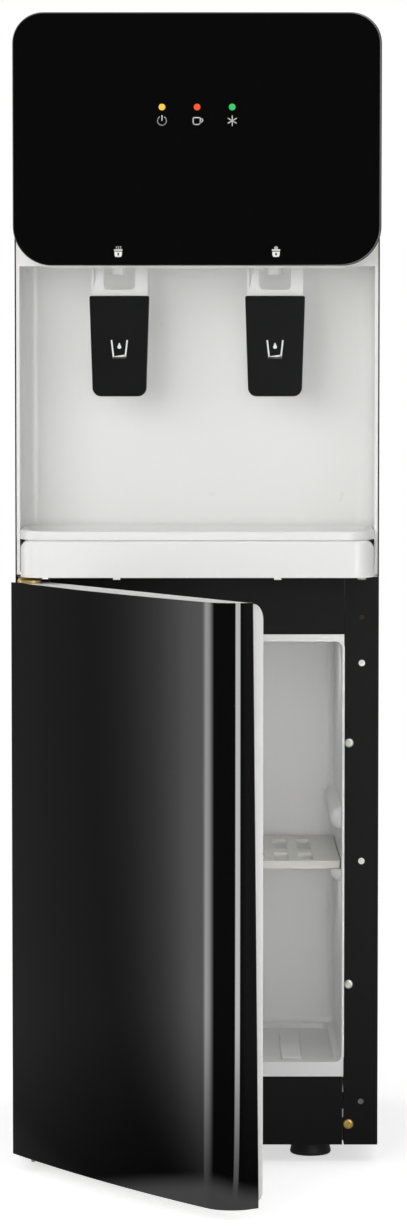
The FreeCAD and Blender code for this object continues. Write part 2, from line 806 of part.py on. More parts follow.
def hinges():
    plate_high = door_top + bracket_gap
    plate_low = door_bottom - bracket_gap - bracket_plate
    x0, x1 = pin_x - bracket_outer, pin_x - bracket_outer + bracket_width
    leg_front = front + frame_sheet
    y0 = pin_y - bracket_width / 2
    y1 = leg_front + bracket_plate
    upper = flat_plate(x0, x1, y0, y1, plate_high, plate_high + bracket_plate, bracket_corner, 0)
    upper = upper.fuse(box(x0, x1, leg_front, y1, plate_high - bracket_leg, plate_high + bracket_plate))
    low = low_bracket_width / 2
    lower = flat_plate(pin_x - low, pin_x + low, pin_y - low, y1, plate_low, plate_low + bracket_plate,
                       low_bracket_corner, 0)
    lower = lower.fuse(box(pin_x - low, pin_x + low, leg_front, y1, plate_low, plate_low + bracket_low_leg))
    for z in open_hole_heights:
        hole = rod(screw_shank_radius, (-plug_x, leg_front - 1, z), (-plug_x, y1 + 1, z))
        upper, lower = upper.cut(hole), lower.cut(hole)
    pin_hole = rod(pin_radius, (pin_x, pin_y, 0), (pin_x, pin_y, frame_top + 1))
    keep("hinge_bracket_upper", upper.cut(pin_hole).removeSplitter())
    keep("hinge_bracket_lower", lower.cut(pin_hole).removeSplitter())

    reach = pin_in_door - 2
    top_pin = rod(pin_radius, (pin_x, pin_y, door_top - reach), (pin_x, pin_y, plate_high + bracket_plate))
    low_pin = rod(pin_radius, (pin_x, pin_y, plate_low), (pin_x, pin_y, door_bottom + reach))
    tail_end = plate_low - pin_tail
    low_pin = low_pin.fuse(rod(pin_tail_radius, (pin_x, pin_y, tail_end), (pin_x, pin_y, plate_low)))
    keep("hinge_pins", Part.makeCompound([top_pin, low_pin]))

    bushes = []
    for z, way in ((door_top - skin_over_core, -1), (door_bottom + skin_over_core, 1)):
        flange_end = z - way * (skin_over_core + bracket_gap - soft_gap)
        body = rod(bush_radius, (pin_x, pin_y, z), (pin_x, pin_y, z + way * pin_in_door))
        flange = rod(bush_flange_radius, (pin_x, pin_y, z), (pin_x, pin_y, flange_end))
        bore = rod(pin_radius + run_gap, (pin_x, pin_y, flange_end - way),
                   (pin_x, pin_y, z + way * (pin_in_door - 1)))
        bushes.append(swung(body.fuse(flange).cut(bore)))
    keep("hinge_bushes", Part.makeCompound(bushes))


# ---- Upper front ----
def fascia():
    x1 = inner_side
    y1 = front + fascia_wall
    plate = box(-x1, x1, front, y1, fascia_bottom, sheet_top)
    half, wall = alcove_half, fascia_wall
    pocket_back = front + alcove_depth
    pocket = flat_plate(-half, half, front - 1, pocket_back, alcove_floor, alcove_top, 0, alcove_corner)
    around = flat_plate(-half - wall, half + wall, front, pocket_back + wall, alcove_floor - wall,
                        alcove_top + wall, 0, alcove_corner + wall)
    shell = plate.fuse(around).cut(pocket)
    for sign in (-1, 1):
        x = sign * tap_offset
        y0 = front + tap_slot_front
        shell = shell.cut(box(x - tap_slot_width / 2, x + tap_slot_width / 2, y0, y0 + tap_slot_length,
                              alcove_top - 1, alcove_top + wall + 1))
    wire_window = box(-board_width / 2, board_width / 2, front - 1, y1 + 1,
                      lamp_height - board_height, lamp_height + board_height / 2)
    keep("front_fascia", shell.cut(wire_window).removeSplitter())


def head():
    half = panel_half
    back_of_panel = head_front + panel_thickness
    panel = front_plate(-half, half, panel_bottom, panel_top, head_front, back_of_panel,
                        panel_bottom_radius, panel_top_radius)
    rim = [edge for edge in panel.Edges if abs(edge.BoundBox.YMax - head_front) < 1e-6]
    panel = panel.makeFillet(panel_edge_round, rim)
    carrier_half = half - carrier_inset
    low, high = panel_bottom - carrier_lip, panel_top - carrier_inset
    carrier = front_plate(-carrier_half, carrier_half, low, high, back_of_panel, front,
                          panel_bottom_radius, panel_top_radius - carrier_inset)
    wall = fascia_wall
    hollow = front_plate(-carrier_half + wall, carrier_half - wall, low + wall, high - wall,
                         back_of_panel + wall, front + 1, panel_bottom_radius - wall,
                         panel_top_radius - carrier_inset - wall)
    board_half, board_rise = board_width / 2 + board_window_gap, board_height / 2 + board_window_gap
    tools = [hollow, box(-board_half, board_half, back_of_panel - 1, back_of_panel + wall + 1,
                         lamp_height - board_rise, lamp_height + board_rise)]
    for sign in (-1, 1):
        for near, far in lip_notches:
            ends = sorted((sign * (tap_offset + near), sign * (tap_offset + far)))
            tools.append(box(ends[0], ends[1], back_of_panel - 1, back_of_panel + wall + 1,
                             low, low + lip_notch_height))
    keep("panel_carrier", cut_all(carrier, tools))

    board_front = back_of_panel + board_behind_panel
    names = ("lamp_power", "lamp_heating", "lamp_cooling")
    for i, name in enumerate(names):
        x = (i - 1) * lamp_pitch
        lens = rod(lamp_radius, (x, head_front - lamp_proud, lamp_height), (x, board_front, lamp_height))
        tip = [edge for edge in lens.Edges
               if abs(edge.BoundBox.YMax - (head_front - lamp_proud)) < 1e-6]
        keep(name, lens.makeFillet(lamp_proud * 0.9, tip))
        panel = panel.cut(rod(lamp_radius + lamp_gap, (x, head_front - 1, lamp_height),
                              (x, back_of_panel + 1, lamp_height)))
    for sign in (-1, 1):
        x = sign * (board_width / 2 - 2 * board_post_radius)
        panel = panel.fuse(rod(board_post_radius, (x, back_of_panel, lamp_height),
                               (x, board_front, lamp_height)))
    keep("control_panel", panel)
    keep("lamp_board", box(-board_width / 2, board_width / 2, board_front, board_front + board_thickness,
                           lamp_height - board_height / 2, lamp_height + board_height / 2))


# ---- Drip tray ----
def drip_tray():
    half = skirt_half
    wall = skirt_wall
    y0 = front - skirt_reach
    tray_front = y0 + tray_front_inset
    tray_back = front + alcove_depth - tray_back_gap
    body_half = half - wall - grille_gap
    body_front = tray_front + rim_overhang
    body_corner = tray_corner - rim_overhang
    block = flat_plate(-half, half, y0, front, fascia_bottom, skirt_top, skirt_corner, 0)
    end = half + skirt_shoulder_over
    shoulders = front_plate(-end, end, fascia_bottom, skirt_top, y0, front, 0, skirt_shoulder)
    block = block.common(shoulders)
    hollow = flat_plate(-half + wall, half - wall, y0 + wall, front + 1, fascia_bottom + wall,
                        skirt_top - wall, skirt_corner - wall, 0)
    gap = grille_gap
    tray_hole = flat_plate(-body_half - gap, body_half + gap, body_front - gap, front + 1,
                           fascia_bottom + wall, skirt_top + 1, body_corner + gap, 0)
    front_rim = [edge for edge in block.Edges
                 if abs(edge.BoundBox.ZMin - skirt_top) < 1e-3 and edge.BoundBox.YMax < y0 + 1e-3]
    block = block.makeFillet(skirt_edge_round, front_rim)
    skirt = block.cut(hollow).cut(tray_hole)
    for sign in (-1, 1):
        x = sign * skirt_tab_x
        skirt = skirt.fuse(box(x - skirt_tab_width / 2, x + skirt_tab_width / 2, y0, y0 + skirt_tab_length,
                               fascia_bottom - skirt_tab_height, fascia_bottom + wall / 2))
    keep("tray_skirt", skirt)

    tray_bottom = alcove_floor + seat_gap
    rim_bottom = skirt_top + seat_gap
    back_corner = alcove_corner
    tray = flat_plate(-tray_half, tray_half, tray_front, tray_back, rim_bottom, tray_rim_top,
                      tray_corner, back_corner)
    rim_edges = [edge for edge in tray.Edges
                 if edge.BoundBox.ZMin > tray_rim_top - 1e-3 and edge.BoundBox.YMin < tray_back - 1]
    tray = tray.makeFillet(rim_round, rim_edges)
    tray = tray.fuse(flat_plate(-body_half, body_half, body_front, tray_back, tray_bottom, rim_bottom + 1,
                                body_corner, back_corner))
    grille_z1 = tray_rim_top - grille_recess
    grille_z0 = grille_z1 - grille_thickness
    ledge_z = grille_z0 - seat_gap
    upper = flat_plate(-body_half + tray_wall, body_half - tray_wall, body_front + tray_wall,
                       tray_back - tray_wall, ledge_z, tray_rim_top + 1, body_corner - tray_wall,
                       back_corner - tray_wall)
    inset = tray_wall + tray_ledge
    lower = flat_plate(-body_half + inset, body_half - inset, body_front + inset, tray_back - inset,
                       tray_bottom + tray_wall, ledge_z + 1, body_corner - inset, back_corner - inset)
    keep("drip_tray", tray.cut(upper).cut(lower).removeSplitter())

    edge = tray_wall + gap
    grille = flat_plate(-body_half + edge, body_half - edge, body_front + edge, tray_back - edge,
                        grille_z0, grille_z1, body_corner - edge, back_corner - edge)
    length = tray_back - body_front - 2 * edge - 2 * grille_margin
    columns = int((2 * (body_half - edge - grille_margin)) / grille_slot_pitch)
    tools = []
    for column in range(columns):
        x = (column - (columns - 1) / 2) * grille_slot_pitch
        y = body_front + edge + grille_margin
        for row in range(2):
            start = y + row * (length + grille_slot_pitch) / 2
            end = start + (length - grille_slot_pitch) / 2
            tools.append(box(x - grille_slot / 2, x + grille_slot / 2, start, end,
                             grille_z0 - 1, grille_z1 + 1))
    keep("drip_grille", grille.cut(Part.makeCompound(tools)))


# ---- Taps ----
def tap(x):
    """Valve body with nozzle, paddle lever, pad, pivot pin and return springs of one tap."""
    wall_top = alcove_top + fascia_wall
    y = front + tap_behind
    half = tap_body_width / 2
    body = box(x - half, x + half, y - tap_body_length / 2, y + tap_body_length / 2,
               wall_top, wall_top + tap_body_height)
    back_of_body = y + tap_body_length / 2
    tail = box(x - tap_tail_width / 2, x + tap_tail_width / 2, y, back_of_body + tap_tail_length,
               wall_top, wall_top + tap_body_height * tap_tail_share)
    nozzle_end = alcove_top - nozzle_drop
    nozzle = rod(nozzle_radius, (x, y, nozzle_end), (x, y, wall_top))
    bore = rod(nozzle_bore, (x, y, nozzle_end - 1), (x, y, wall_top + tap_body_height * tap_bore_share))
    pivot_y = front + pivot_behind
    pin_half = lever_width / 2
    hole = rod(pivot_radius, (x - half - 1, pivot_y, pivot_height), (x + half + 1, pivot_y, pivot_height))
    inlet_z = tap_inlet_height
    inlet = rod(tube_radius - tube_wall - run_gap, (x, back_of_body, inlet_z),
                (x, back_of_body + tap_inlet_length, inlet_z))
    body = body.fuse([tail, nozzle, inlet]).cut(bore).cut(hole).removeSplitter()

    plate_y0 = y - tap_body_length / 2 + lever_behind_front
    plate_y1 = plate_y0 + lever_thickness
    lever_half = lever_width / 2
    upper = box(x - lever_half, x + lever_half, plate_y0, plate_y1, paddle_top - pad_thickness, pivot_height)
    window = front_plate(x - lever_window / 2, x + lever_window / 2, alcove_top - window_drop,
                         pivot_height + ear_radius, plate_y0 - 1, plate_y1 + 1, window_corner, 0)
    rim = pad_rim
    points = [(x - paddle_bottom_width / 2 - rim, plate_y0, paddle_bottom - rim),
              (x + paddle_bottom_width / 2 + rim, plate_y0, paddle_bottom - rim),
              (x + paddle_top_width / 2 + rim, plate_y0, paddle_top),
              (x - paddle_top_width / 2 - rim, plate_y0, paddle_top)]
    carrier = slab(points, [paddle_corner + rim] * 2 + [paddle_top_corner] * 2, (0, lever_thickness, 0))
    gusset_x = x - lever_half + gusset_edge
    gusset = slab([(gusset_x, plate_y0, alcove_top - gusset_height),
                   (gusset_x + gusset_width, plate_y0, alcove_top), (gusset_x, plate_y0, alcove_top)],
                  [0] * 3, (0, gusset_depth, 0))
    lever = upper.fuse(carrier).cut(window).cut(gusset)
    clip_x = x + (lever_half + lever_window / 2) / 2
    clip_z = alcove_top - clip_drop
    clip_y = plate_y0 - clip_proud
    clip = front_plate(clip_x - clip_width / 2, clip_x + clip_width / 2, clip_z - clip_height, clip_z,
                       clip_y, plate_y0 + clip_proud, clip_width / 2.2, 0)
    clip_room = front_plate(clip_x - clip_width / 2 + clip_bar, clip_x + clip_width / 2 - clip_bar,
                            clip_z - clip_height + clip_bar, clip_z + 1, clip_y - 1, plate_y0,
                            clip_width / 2.2 - clip_bar, 0)
    lever = lever.fuse(clip).cut(clip_room)
    for sign in (-1, 1):
        ends = sorted((x + sign * lever_window / 2, x + sign * (lever_window / 2 + lever_thickness)))
        arm = box(ends[0], ends[1], plate_y0, pivot_y, pivot_height - ear_radius, pivot_height + ear_radius)
        ear = rod(ear_radius, (ends[0], pivot_y, pivot_height), (ends[1], pivot_y, pivot_height))
        lever = lever.fuse([arm, ear])
    lever = lever.cut(rod(pivot_radius + run_gap, (x - pin_half, pivot_y, pivot_height),
                          (x + pin_half, pivot_y, pivot_height)))

    points = [(x - paddle_bottom_width / 2, plate_y0, paddle_bottom),
              (x + paddle_bottom_width / 2, plate_y0, paddle_bottom),
              (x + paddle_top_width / 2, plate_y0, paddle_top),
              (x - paddle_top_width / 2, plate_y0, paddle_top)]
    pad = slab(points, [paddle_corner] * 2 + [paddle_top_corner] * 2, (0, -pad_thickness, 0))
    face = plate_y0 - pad_thickness
    rim_edges = [edge for edge in pad.Edges if abs(edge.BoundBox.YMax - face) < 1e-6]
    pad = pad.makeFillet(pad_edge_round, rim_edges)
    pin = rod(pivot_radius, (x - pin_half, pivot_y, pivot_height), (x + pin_half, pivot_y, pivot_height))

    springs = []
    coil_room = lever_half - lever_window / 2 - lever_thickness - 2 * spring_end_gap
    pitch = (coil_room - spring_wire_radius) / spring_turns
    for sign in (-1, 1):
        start = x + sign * (lever_window / 2 + lever_thickness + spring_end_gap)
        helix = Part.makeHelix(pitch, pitch * spring_turns, spring_coil_radius)
        ring = Part.Wire([Part.Circle(V(spring_coil_radius, 0, 0), V(0, 1, 0),
                                      spring_wire_radius).toShape()])
        coil = Part.Wire(helix.Edges).makePipeShell([ring], True, True)
        coil.rotate(V(0, 0, 0), V(0, 1, 0), 90 * sign)
        coil.translate(V(start, pivot_y, pivot_height))
        springs.append(coil)
    return body, lever.removeSplitter(), pad, pin, springs


def taps():
    pins, springs = [], []
    for name, x in (("hot", -tap_offset), ("cold", tap_offset)):
        body, lever, pad, pin, coils = tap(x)
        keep(name + "_tap_body", body)
        keep(name + "_tap_lever", lever)
        keep(name + "_tap_pad", pad)
        pins.append(pin)
        springs.extend(coils)
    keep("tap_pivot_pins", Part.makeCompound(pins))
    keep("tap_springs", Part.makeCompound(springs))


# ---- Top cover, bottle guard and tanks ----
def top_cover():
    x1 = side
    y0, y1 = front, back
    by = bottle_y
    well_radius = inner_side - seat_gap - well_rim
    wall = cover_wall
    low = sheet_top + seat_gap
    lid = front_plate(-x1, x1, low, body_top, y0, y1, 0, cover_corner)
    inside = front_plate(-x1 + wall, x1 - wall, low - 1, body_top - wall, y0 + wall, y1 - wall, 0,
                         cover_corner - wall)
    floor_z = well_floor
    well = Part.makeCone(well_floor_radius + wall, well_radius + wall, well_depth + wall,
                         V(0, by, floor_z - wall))
    room = Part.makeCone(well_floor_radius, well_radius, well_depth, V(0, by, floor_z))
    mouth = rod(well_radius, (0, by, body_top - 0.01), (0, by, body_top + 1))
    neck_hole = rod(neck_radius + guard_wall + seat_gap, (0, by, floor_z - wall - 1), (0, by, floor_z + 1))
    back_rim = [edge for edge in lid.Edges
                if edge.BoundBox.YMin > y1 - 1e-3 and edge.BoundBox.ZMax > low + cover_corner / 4]
    lid = lid.makeFillet(cover_back_round, back_rim)
    lid = lid.cut(inside).fuse(well.common(box(-x1, x1, y0, y1, 0, body_top)))
    keep("top_cover", lid.cut(room).cut(mouth).cut(neck_hole).removeSplitter())

    outer = neck_radius + guard_wall
    flange_top = floor_z + guard_wall
    tube_bottom = floor_z - guard_height
    tube = rod(outer, (0, by, tube_bottom), (0, by, floor_z))
    flange = rod(guard_flange_radius, (0, by, floor_z), (0, by, flange_top))
    bore = rod(neck_radius, (0, by, tube_bottom + guard_wall), (0, by, flange_top + 1))
    probe = rod(probe_radius, (0, by, tube_bottom), (0, by, tube_bottom + probe_height))
    tip = [edge for edge in probe.Edges if abs(edge.BoundBox.ZMin - tube_bottom - probe_height) < 1e-6]
    probe = probe.makeFillet(probe_radius * 0.6, tip)
    guard = tube.fuse(flange).cut(bore).fuse(probe)
    guard = guard.cut(rod(probe_radius / 2, (0, by, tube_bottom - 1),
                          (0, by, tube_bottom + probe_height - probe_radius)))
    for angle in (0, 90):
        hole_z = tube_bottom + probe_height - 2 * probe_radius
        hole = rod(probe_radius / 4, (-probe_radius - 1, by, hole_z), (probe_radius + 1, by, hole_z))
        hole.rotate(V(0, by, 0), V(0, 0, 1), angle)
        guard = guard.cut(hole)
    keep("bottle_guard", guard.removeSplitter())


def hollow_drum(radius, x, y, z0, z1):
    return rod(radius, (x, y, z0), (x, y, z1)).cut(
        rod(radius - tank_wall, (x, y, z0 + tank_wall), (x, y, z1 - tank_wall)))


def tanks():
    """Both tanks in their foam; returns the feed tube between them."""
    by = bottle_y
    neck_top = well_floor - cover_wall - seat_gap
    neck_inner = neck_radius + guard_wall + tank_neck_gap
    stand = bracket_shelf_height + frame_sheet
    z0 = stand + cold_foam_wall
    z1 = well_floor - guard_height - tank_under_guard
    drum = hollow_drum(cold_tank_radius, 0, by, z0, z1)
    neck = rod(neck_inner + tank_wall, (0, by, z1), (0, by, neck_top))
    drum = drum.fuse(neck).cut(rod(neck_inner, (0, by, z1 - 2 * tank_wall), (0, by, neck_top + 1)))
    keep("cold_tank", drum.removeSplitter())
    jacket = rod(cold_tank_radius + cold_foam_wall, (0, by, stand), (0, by, z1))
    jacket = jacket.cut(rod(cold_tank_radius, (0, by, z0), (0, by, z1 + 1)))
    hot_pass = rod(tube_radius + soft_gap, (0, by, stand - 1), (0, by, z0 + 1))
    keep("cold_tank_foam", jacket.cut(hot_pass))

    floor = frame_deck
    h0 = floor + hot_foam_wall
    h1 = h0 + hot_tank_height
    keep("hot_tank", hollow_drum(hot_tank_radius, 0, by, h0, h1))
    foam = rod(hot_tank_radius + hot_foam_wall, (0, by, floor), (0, by, h1 + hot_foam_wall))
    foam = foam.cut(rod(hot_tank_radius, (0, by, h0), (0, by, h1)))
    keep("hot_tank_foam", foam.cut(rod(tube_radius + soft_gap, (0, by, h1 - 1),
                                       (0, by, h1 + hot_foam_wall + 1))))
    return pipe(tube_radius, tube_radius - tube_wall, (0, by, h1), (0, by, z0))


def swept_pipe(points, bend):
    """Hollow tube along straight runs joined by round bends."""
    wire_edges = []
    last = V(*points[0])
    for i in range(1, len(points) - 1):
        p, q, r = V(*points[i - 1]), V(*points[i]), V(*points[i + 1])
        a, b = (p - q).normalize(), (r - q).normalize()
        half = a.getAngle(b) / 2
        reach = bend / math.tan(half)
        middle = q + (a + b).normalize() * (bend / math.sin(half) - bend)
        wire_edges.append(Part.LineSegment(last, q + a * reach).toShape())
        wire_edges.append(Part.Arc(q + a * reach, middle, q + b * reach).toShape())
        last = q + b * reach
    wire_edges.append(Part.LineSegment(last, V(*points[-1])).toShape())
    path = Part.Wire(wire_edges)
    start = V(*points[0])
    way = (V(*points[1]) - start).normalize()
    outer = Part.Wire([Part.Circle(start, way, tube_radius).toShape()])
    inner = Part.Wire([Part.Circle(start, way, tube_radius - tube_wall).toShape()])
    return path.makePipeShell([outer], True, False).cut(path.makePipeShell([inner], True, False))


def water_tubes(feed_tube):
    """Silicone tubes from each tank's side to its tap body, and the one between the tanks."""
    y = front + tap_behind + tap_body_length / 2
    z = tap_inlet_height
    by = bottle_y
    hot_x = hot_tank_radius + hot_foam_wall
    cold_x = cold_tank_radius + cold_foam_wall
    turn_x = cold_x + 3 * tube_radius + tube_turn_gap
    cross_y = y + 6 * tube_radius
    hot_z = frame_deck + hot_foam_wall + hot_tank_height * hot_outlet_share
    cold_z = bracket_shelf_height + cold_foam_wall + cold_outlet_rise
    tubes = [feed_tube]
    for sign, start_x, start_z in ((-1, hot_x, hot_z), (1, cold_x, cold_z)):
        route = [(start_x, by, start_z), (turn_x, by, start_z), (turn_x, by, z), (turn_x, cross_y, z),
                 (tap_offset, cross_y, z), (tap_offset, y, z)]
        tubes.append(swept_pipe([(sign * x, y_at, z_at) for x, y_at, z_at in route], tube_bend))
    keep("water_tubes", Part.makeCompound(tubes))
    pass_hole = rod(tube_radius + soft_gap, (-turn_x, by, bracket_shelf_height - 5),
                    (-turn_x, by, bracket_shelf_height + 5))
    keep("tank_bracket", parts["tank_bracket"].cut(pass_hole))


# ---- Cooling machinery ----
def compressor():
    r = compressor_radius
    y = back - panel_sheet - seat_gap - base_sheet - compressor_rear_gap - r
    floor = body_bottom + base_sheet
    stretch = compressor_stretch
    bottom = floor + grommet_height + foot_plate
    top = bottom + compressor_height
    points = [(-r - stretch, y - r, bottom), (r + stretch, y - r, bottom), (r + stretch, y + r, bottom),
              (-r - stretch, y + r, bottom)]
    can = slab(points, [r - 0.5] * 4, (0, 0, top - bottom))
    crown = [edge for edge in can.Edges if abs(edge.BoundBox.ZMin - top) < 1e-6]
    can = can.makeFillet(compressor_crown, crown)
    reach = r + stretch + 2 * grommet_radius
    depth = r * foot_plate_share
    foot = flat_plate(-reach, reach, y - depth, y + depth, bottom - foot_plate, bottom,
                      foot_plate_corner, foot_plate_corner)
    body = can.fuse(foot)
    grommets = []
    holes = []
    inset = grommet_radius + 1
    for x in (-reach + inset, reach - inset):
        for gy in (y - depth + inset, y + depth - inset):
            grommets.append(pipe(grommet_radius, grommet_bore, (x, gy, floor),
                                 (x, gy, floor + grommet_height)))
            holes.append(rod(grommet_bore, (x, gy, bottom - foot_plate - 1), (x, gy, bottom + 1)))
    keep("compressor", cut_all(body, holes).removeSplitter())
    keep("compressor_grommets", Part.makeCompound(grommets))

    x = drier_side_inset - side
    z0 = floor + drier_rise
    drier = rod(drier_radius, (x, y, z0), (x, y, z0 + drier_length))
    ends = [edge for edge in drier.Edges if edge.BoundBox.ZLength < 1e-6]
    drier = drier.makeFillet(drier_radius * 0.6, ends)
    stand = rod(drier_radius / 3, (x, y, floor), (x, y, z0 + 1))
    keep("filter_drier", drier.fuse(stand).removeSplitter())


def condenser():
    y = back + condenser_stand_off
    half = condenser_half_width
    rows = int((body_top - condenser_under_top - condenser_bottom) / condenser_pitch)
    r = condenser_tube
    edges = []
    turn = condenser_pitch / 2
    straight = half - turn
    for row in range(rows):
        z = condenser_bottom + row * condenser_pitch
        way = 1 if row % 2 == 0 else -1
        edges.append(Part.LineSegment(V(-way * straight, y, z), V(way * straight, y, z)).toShape())
        if row < rows - 1:
            edges.append(Part.Arc(V(way * straight, y, z), V(way * half, y, z + turn),
                                  V(way * straight, y, z + condenser_pitch)).toShape())
    path = Part.Wire(edges)
    start = V(-straight, y, condenser_bottom)
    ring = Part.Wire([Part.Circle(start, V(1, 0, 0), r).toShape()])
    coil = path.makePipeShell([ring], True, False)
    span = (rows - 1) * condenser_pitch
    wires = []
    wire_half = straight - condenser_wire_inset
    wire_y = y + r + condenser_wire
    for i in range(condenser_wires):
        x = -wire_half + i * 2 * wire_half / (condenser_wires - 1)
        wires.append(rod(condenser_wire, (x, wire_y, condenser_bottom - condenser_wire_reach),
                         (x, wire_y, condenser_bottom + span + condenser_wire_reach)))
    stays = []
    stay_low = condenser_bottom + stay_turns * condenser_pitch
    stay_high = condenser_bottom + span - condenser_pitch
    for x in (stay_inset - straight, straight - stay_inset):
        for z in (stay_low, stay_high):
            stays.append(box(x - stay_width / 2, x + stay_width / 2, back, y - r,
                             z - stay_height / 2, z + stay_height / 2))
    keep("condenser", Part.makeCompound([coil] + wires + stays))


# ---- Rear fittings ----
def rear_fittings():
    frames = []
    w, h = switch_width / 2, switch_height / 2
    inner_w, inner_h = w - switch_wall, h - switch_wall
    axle_y = back - switch_axle_depth
    lean = math.tan(math.radians(rocker_angle / 2))
    length = inner_h - rocker_end_gap
    z = switch_height_z
    for name, sign in (("hot_switch", 1), ("cold_switch", -1)):
        x = sign * switch_spacing / 2
        rim = switch_bezel
        bezel = box(x - w - rim, x + w + rim, back, back + rim, z - h - rim, z + h + rim)
        case = box(x - w, x + w, back - switch_case_depth, back, z - h, z + h)
        room = box(x - inner_w, x + inner_w, back - switch_room_depth, back + 2 * rim,
                   z - inner_h, z + inner_h)
        axle = rod(switch_axle_radius, (x - inner_w, axle_y, z), (x + inner_w, axle_y, z))
        frames.append(bezel.fuse(case).cut(room).fuse(axle).removeSplitter())
        near_x = x - inner_w + rocker_gap
        root_y, face_y = axle_y - switch_axle_radius - 1, back + rocker_proud
        rocker = slab([(near_x, root_y, z - length / 3), (near_x, root_y, z + length / 3),
                       (near_x, face_y - length * lean, z + length), (near_x, back, z),
                       (near_x, face_y + length * lean, z - length)],
                      [0] * 5, (2 * (inner_w - rocker_gap), 0, 0))
        bore = rod(switch_axle_radius + run_gap, (x - inner_w, axle_y, z), (x + inner_w, axle_y, z))
        keep(name, rocker.cut(bore))
    keep("switch_housings", Part.makeCompound(frames))

    x, z = inlet_x, inlet_height
    bore_radius = inlet_radius - inlet_wall
    outer = pipe(inlet_radius + inlet_flange, bore_radius, (x, back, z),
                 (x, back + inlet_flange_thickness, z))
    sleeve = pipe(inlet_radius, bore_radius, (x, back - inlet_sleeve, z), (x, back, z))
    keep("power_inlet", outer.fuse(sleeve).removeSplitter())

    pipes, caps = [], []
    z = spigot_height
    end = back + spigot_reach
    cap_radius = spigot_radius + spigot_wall
    for sign in (-1, 1):
        x = sign * spigot_spacing / 2
        pipes.append(pipe(spigot_radius, spigot_radius - spigot_wall,
                          (x, back - panel_sheet - spigot_inside, z), (x, end, z)))
        cap = pipe(cap_radius, spigot_radius, (x, back + cap_gap, z), (x, end, z))
        caps.append(cap.fuse(rod(cap_radius, (x, end, z), (x, end + cap_gap, z))).removeSplitter())
    keep("drain_spigots", Part.makeCompound(pipes))
    keep("drain_caps", Part.makeCompound(caps))


# ---- Assembly ----
for make in (side_panels, back_cover, base_plate, front_columns, cross_members, shelves_inside,
             compartment, shelf, feet, fasteners, door, hinges, fascia, head, drip_tray, taps,
             top_cover, compressor, condenser, rear_fittings):
    make()
water_tubes(tanks())

for name, shape in parts.items():
    shape.exportStep("parts/" + name + ".step")
    solids = shape.Solids
    print(name, len(solids), "solids", "valid" if shape.isValid() else "NOT VALID",
          round(shape.Volume / 1000, 2), "cm3")
print(len(parts), "nodes")
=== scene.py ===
"""Looks of a floor-standing hot and cold water cooler, built round its construction model."""
import json
import math

import bpy
import bmesh
from mathutils import Matrix, Vector


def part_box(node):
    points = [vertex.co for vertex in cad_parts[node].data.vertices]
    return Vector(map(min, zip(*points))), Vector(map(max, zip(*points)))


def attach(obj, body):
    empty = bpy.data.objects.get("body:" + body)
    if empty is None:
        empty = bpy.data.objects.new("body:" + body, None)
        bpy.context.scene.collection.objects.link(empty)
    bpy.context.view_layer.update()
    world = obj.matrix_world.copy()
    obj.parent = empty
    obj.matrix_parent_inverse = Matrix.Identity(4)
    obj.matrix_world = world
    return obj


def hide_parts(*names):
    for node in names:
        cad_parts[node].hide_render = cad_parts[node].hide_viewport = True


bl_info = {
    "name": "Water Cooler",
    "version": (1, 0, 0),
    "blender": (4, 5, 0),
    "location": "View3D > Sidebar > Cooler",
    "description": "Finishes and details of a floor-standing water cooler",
    "category": "Object",
}

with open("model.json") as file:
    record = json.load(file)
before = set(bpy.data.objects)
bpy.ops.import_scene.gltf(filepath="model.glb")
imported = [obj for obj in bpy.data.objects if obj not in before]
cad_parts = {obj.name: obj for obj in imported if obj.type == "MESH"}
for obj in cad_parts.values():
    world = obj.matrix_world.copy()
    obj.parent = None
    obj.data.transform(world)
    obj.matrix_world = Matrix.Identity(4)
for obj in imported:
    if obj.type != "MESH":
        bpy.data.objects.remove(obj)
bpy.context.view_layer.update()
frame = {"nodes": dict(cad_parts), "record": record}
joints = {joint["name"]: joint for joint in frame["record"]["behaviour"]["joints"]}
MM = 0.001


# ---- Settings a user would change ----
def length(name, description, default):
    return bpy.props.FloatProperty(name=name, description=description, default=default,
                                   unit="LENGTH", precision=5)


def colour(name, description, default):
    return bpy.props.FloatVectorProperty(name=name, description=description, default=default,
                                         subtype="COLOR", size=3, min=0.0, max=1.0)


class CoolerSizes(bpy.types.PropertyGroup):
    stroke: length("Symbol stroke", "Width of the lines of the printed symbols", 0.7 * MM)
    print_depth: length("Print depth", "How far the printed symbols stand off the face", 0.08 * MM)
    panel_symbol: length("Panel symbol", "Height of the symbols under the lamps", 7.4 * MM)
    tap_symbol: length("Tap symbol", "Height of the symbols over the taps", 8.6 * MM)
    pad_symbol: length("Pad symbol", "Height of the cup symbol on each pad", 15.0 * MM)
    seal_tube: length("Seal tube", "Radius of the soft tubes of the door seal", 1.3 * MM)
    screw_cross: length("Screw cross", "Length of the cross recess in a screw head", 4.2 * MM)


class CoolerColours(bpy.types.PropertyGroup):
    white: colour("White plastic", "Front moulding, taps and tray", (0.80, 0.80, 0.785))
    liner: colour("Liner", "Compartment liner", (0.85, 0.855, 0.85))
    cream: colour("Shelf", "Compartment shelf", (0.80, 0.79, 0.74))
    gloss_black: colour("Gloss black", "Control panel and door skin", (0.0018, 0.0018, 0.0019))
    steel_black: colour("Black steel", "Powder-coated panels and frame", (0.004, 0.004, 0.0038))
    pad_black: colour("Pad black", "Paddle pads", (0.0045, 0.0046, 0.005))
    zinc: colour("Zinc", "Galvanised sheet", (0.46, 0.47, 0.48))
    yellow_zinc: colour("Yellow zinc", "Hinge parts and screws", (0.60, 0.42, 0.12))
    floor: colour("Floor", "Studio floor", (0.93, 0.93, 0.93))


# ---- Materials ----
def new_material(name):
    material = bpy.data.materials.new(name)
    material.use_nodes = True
    tree = material.node_tree
    return material, tree, tree.nodes["Principled BSDF"]


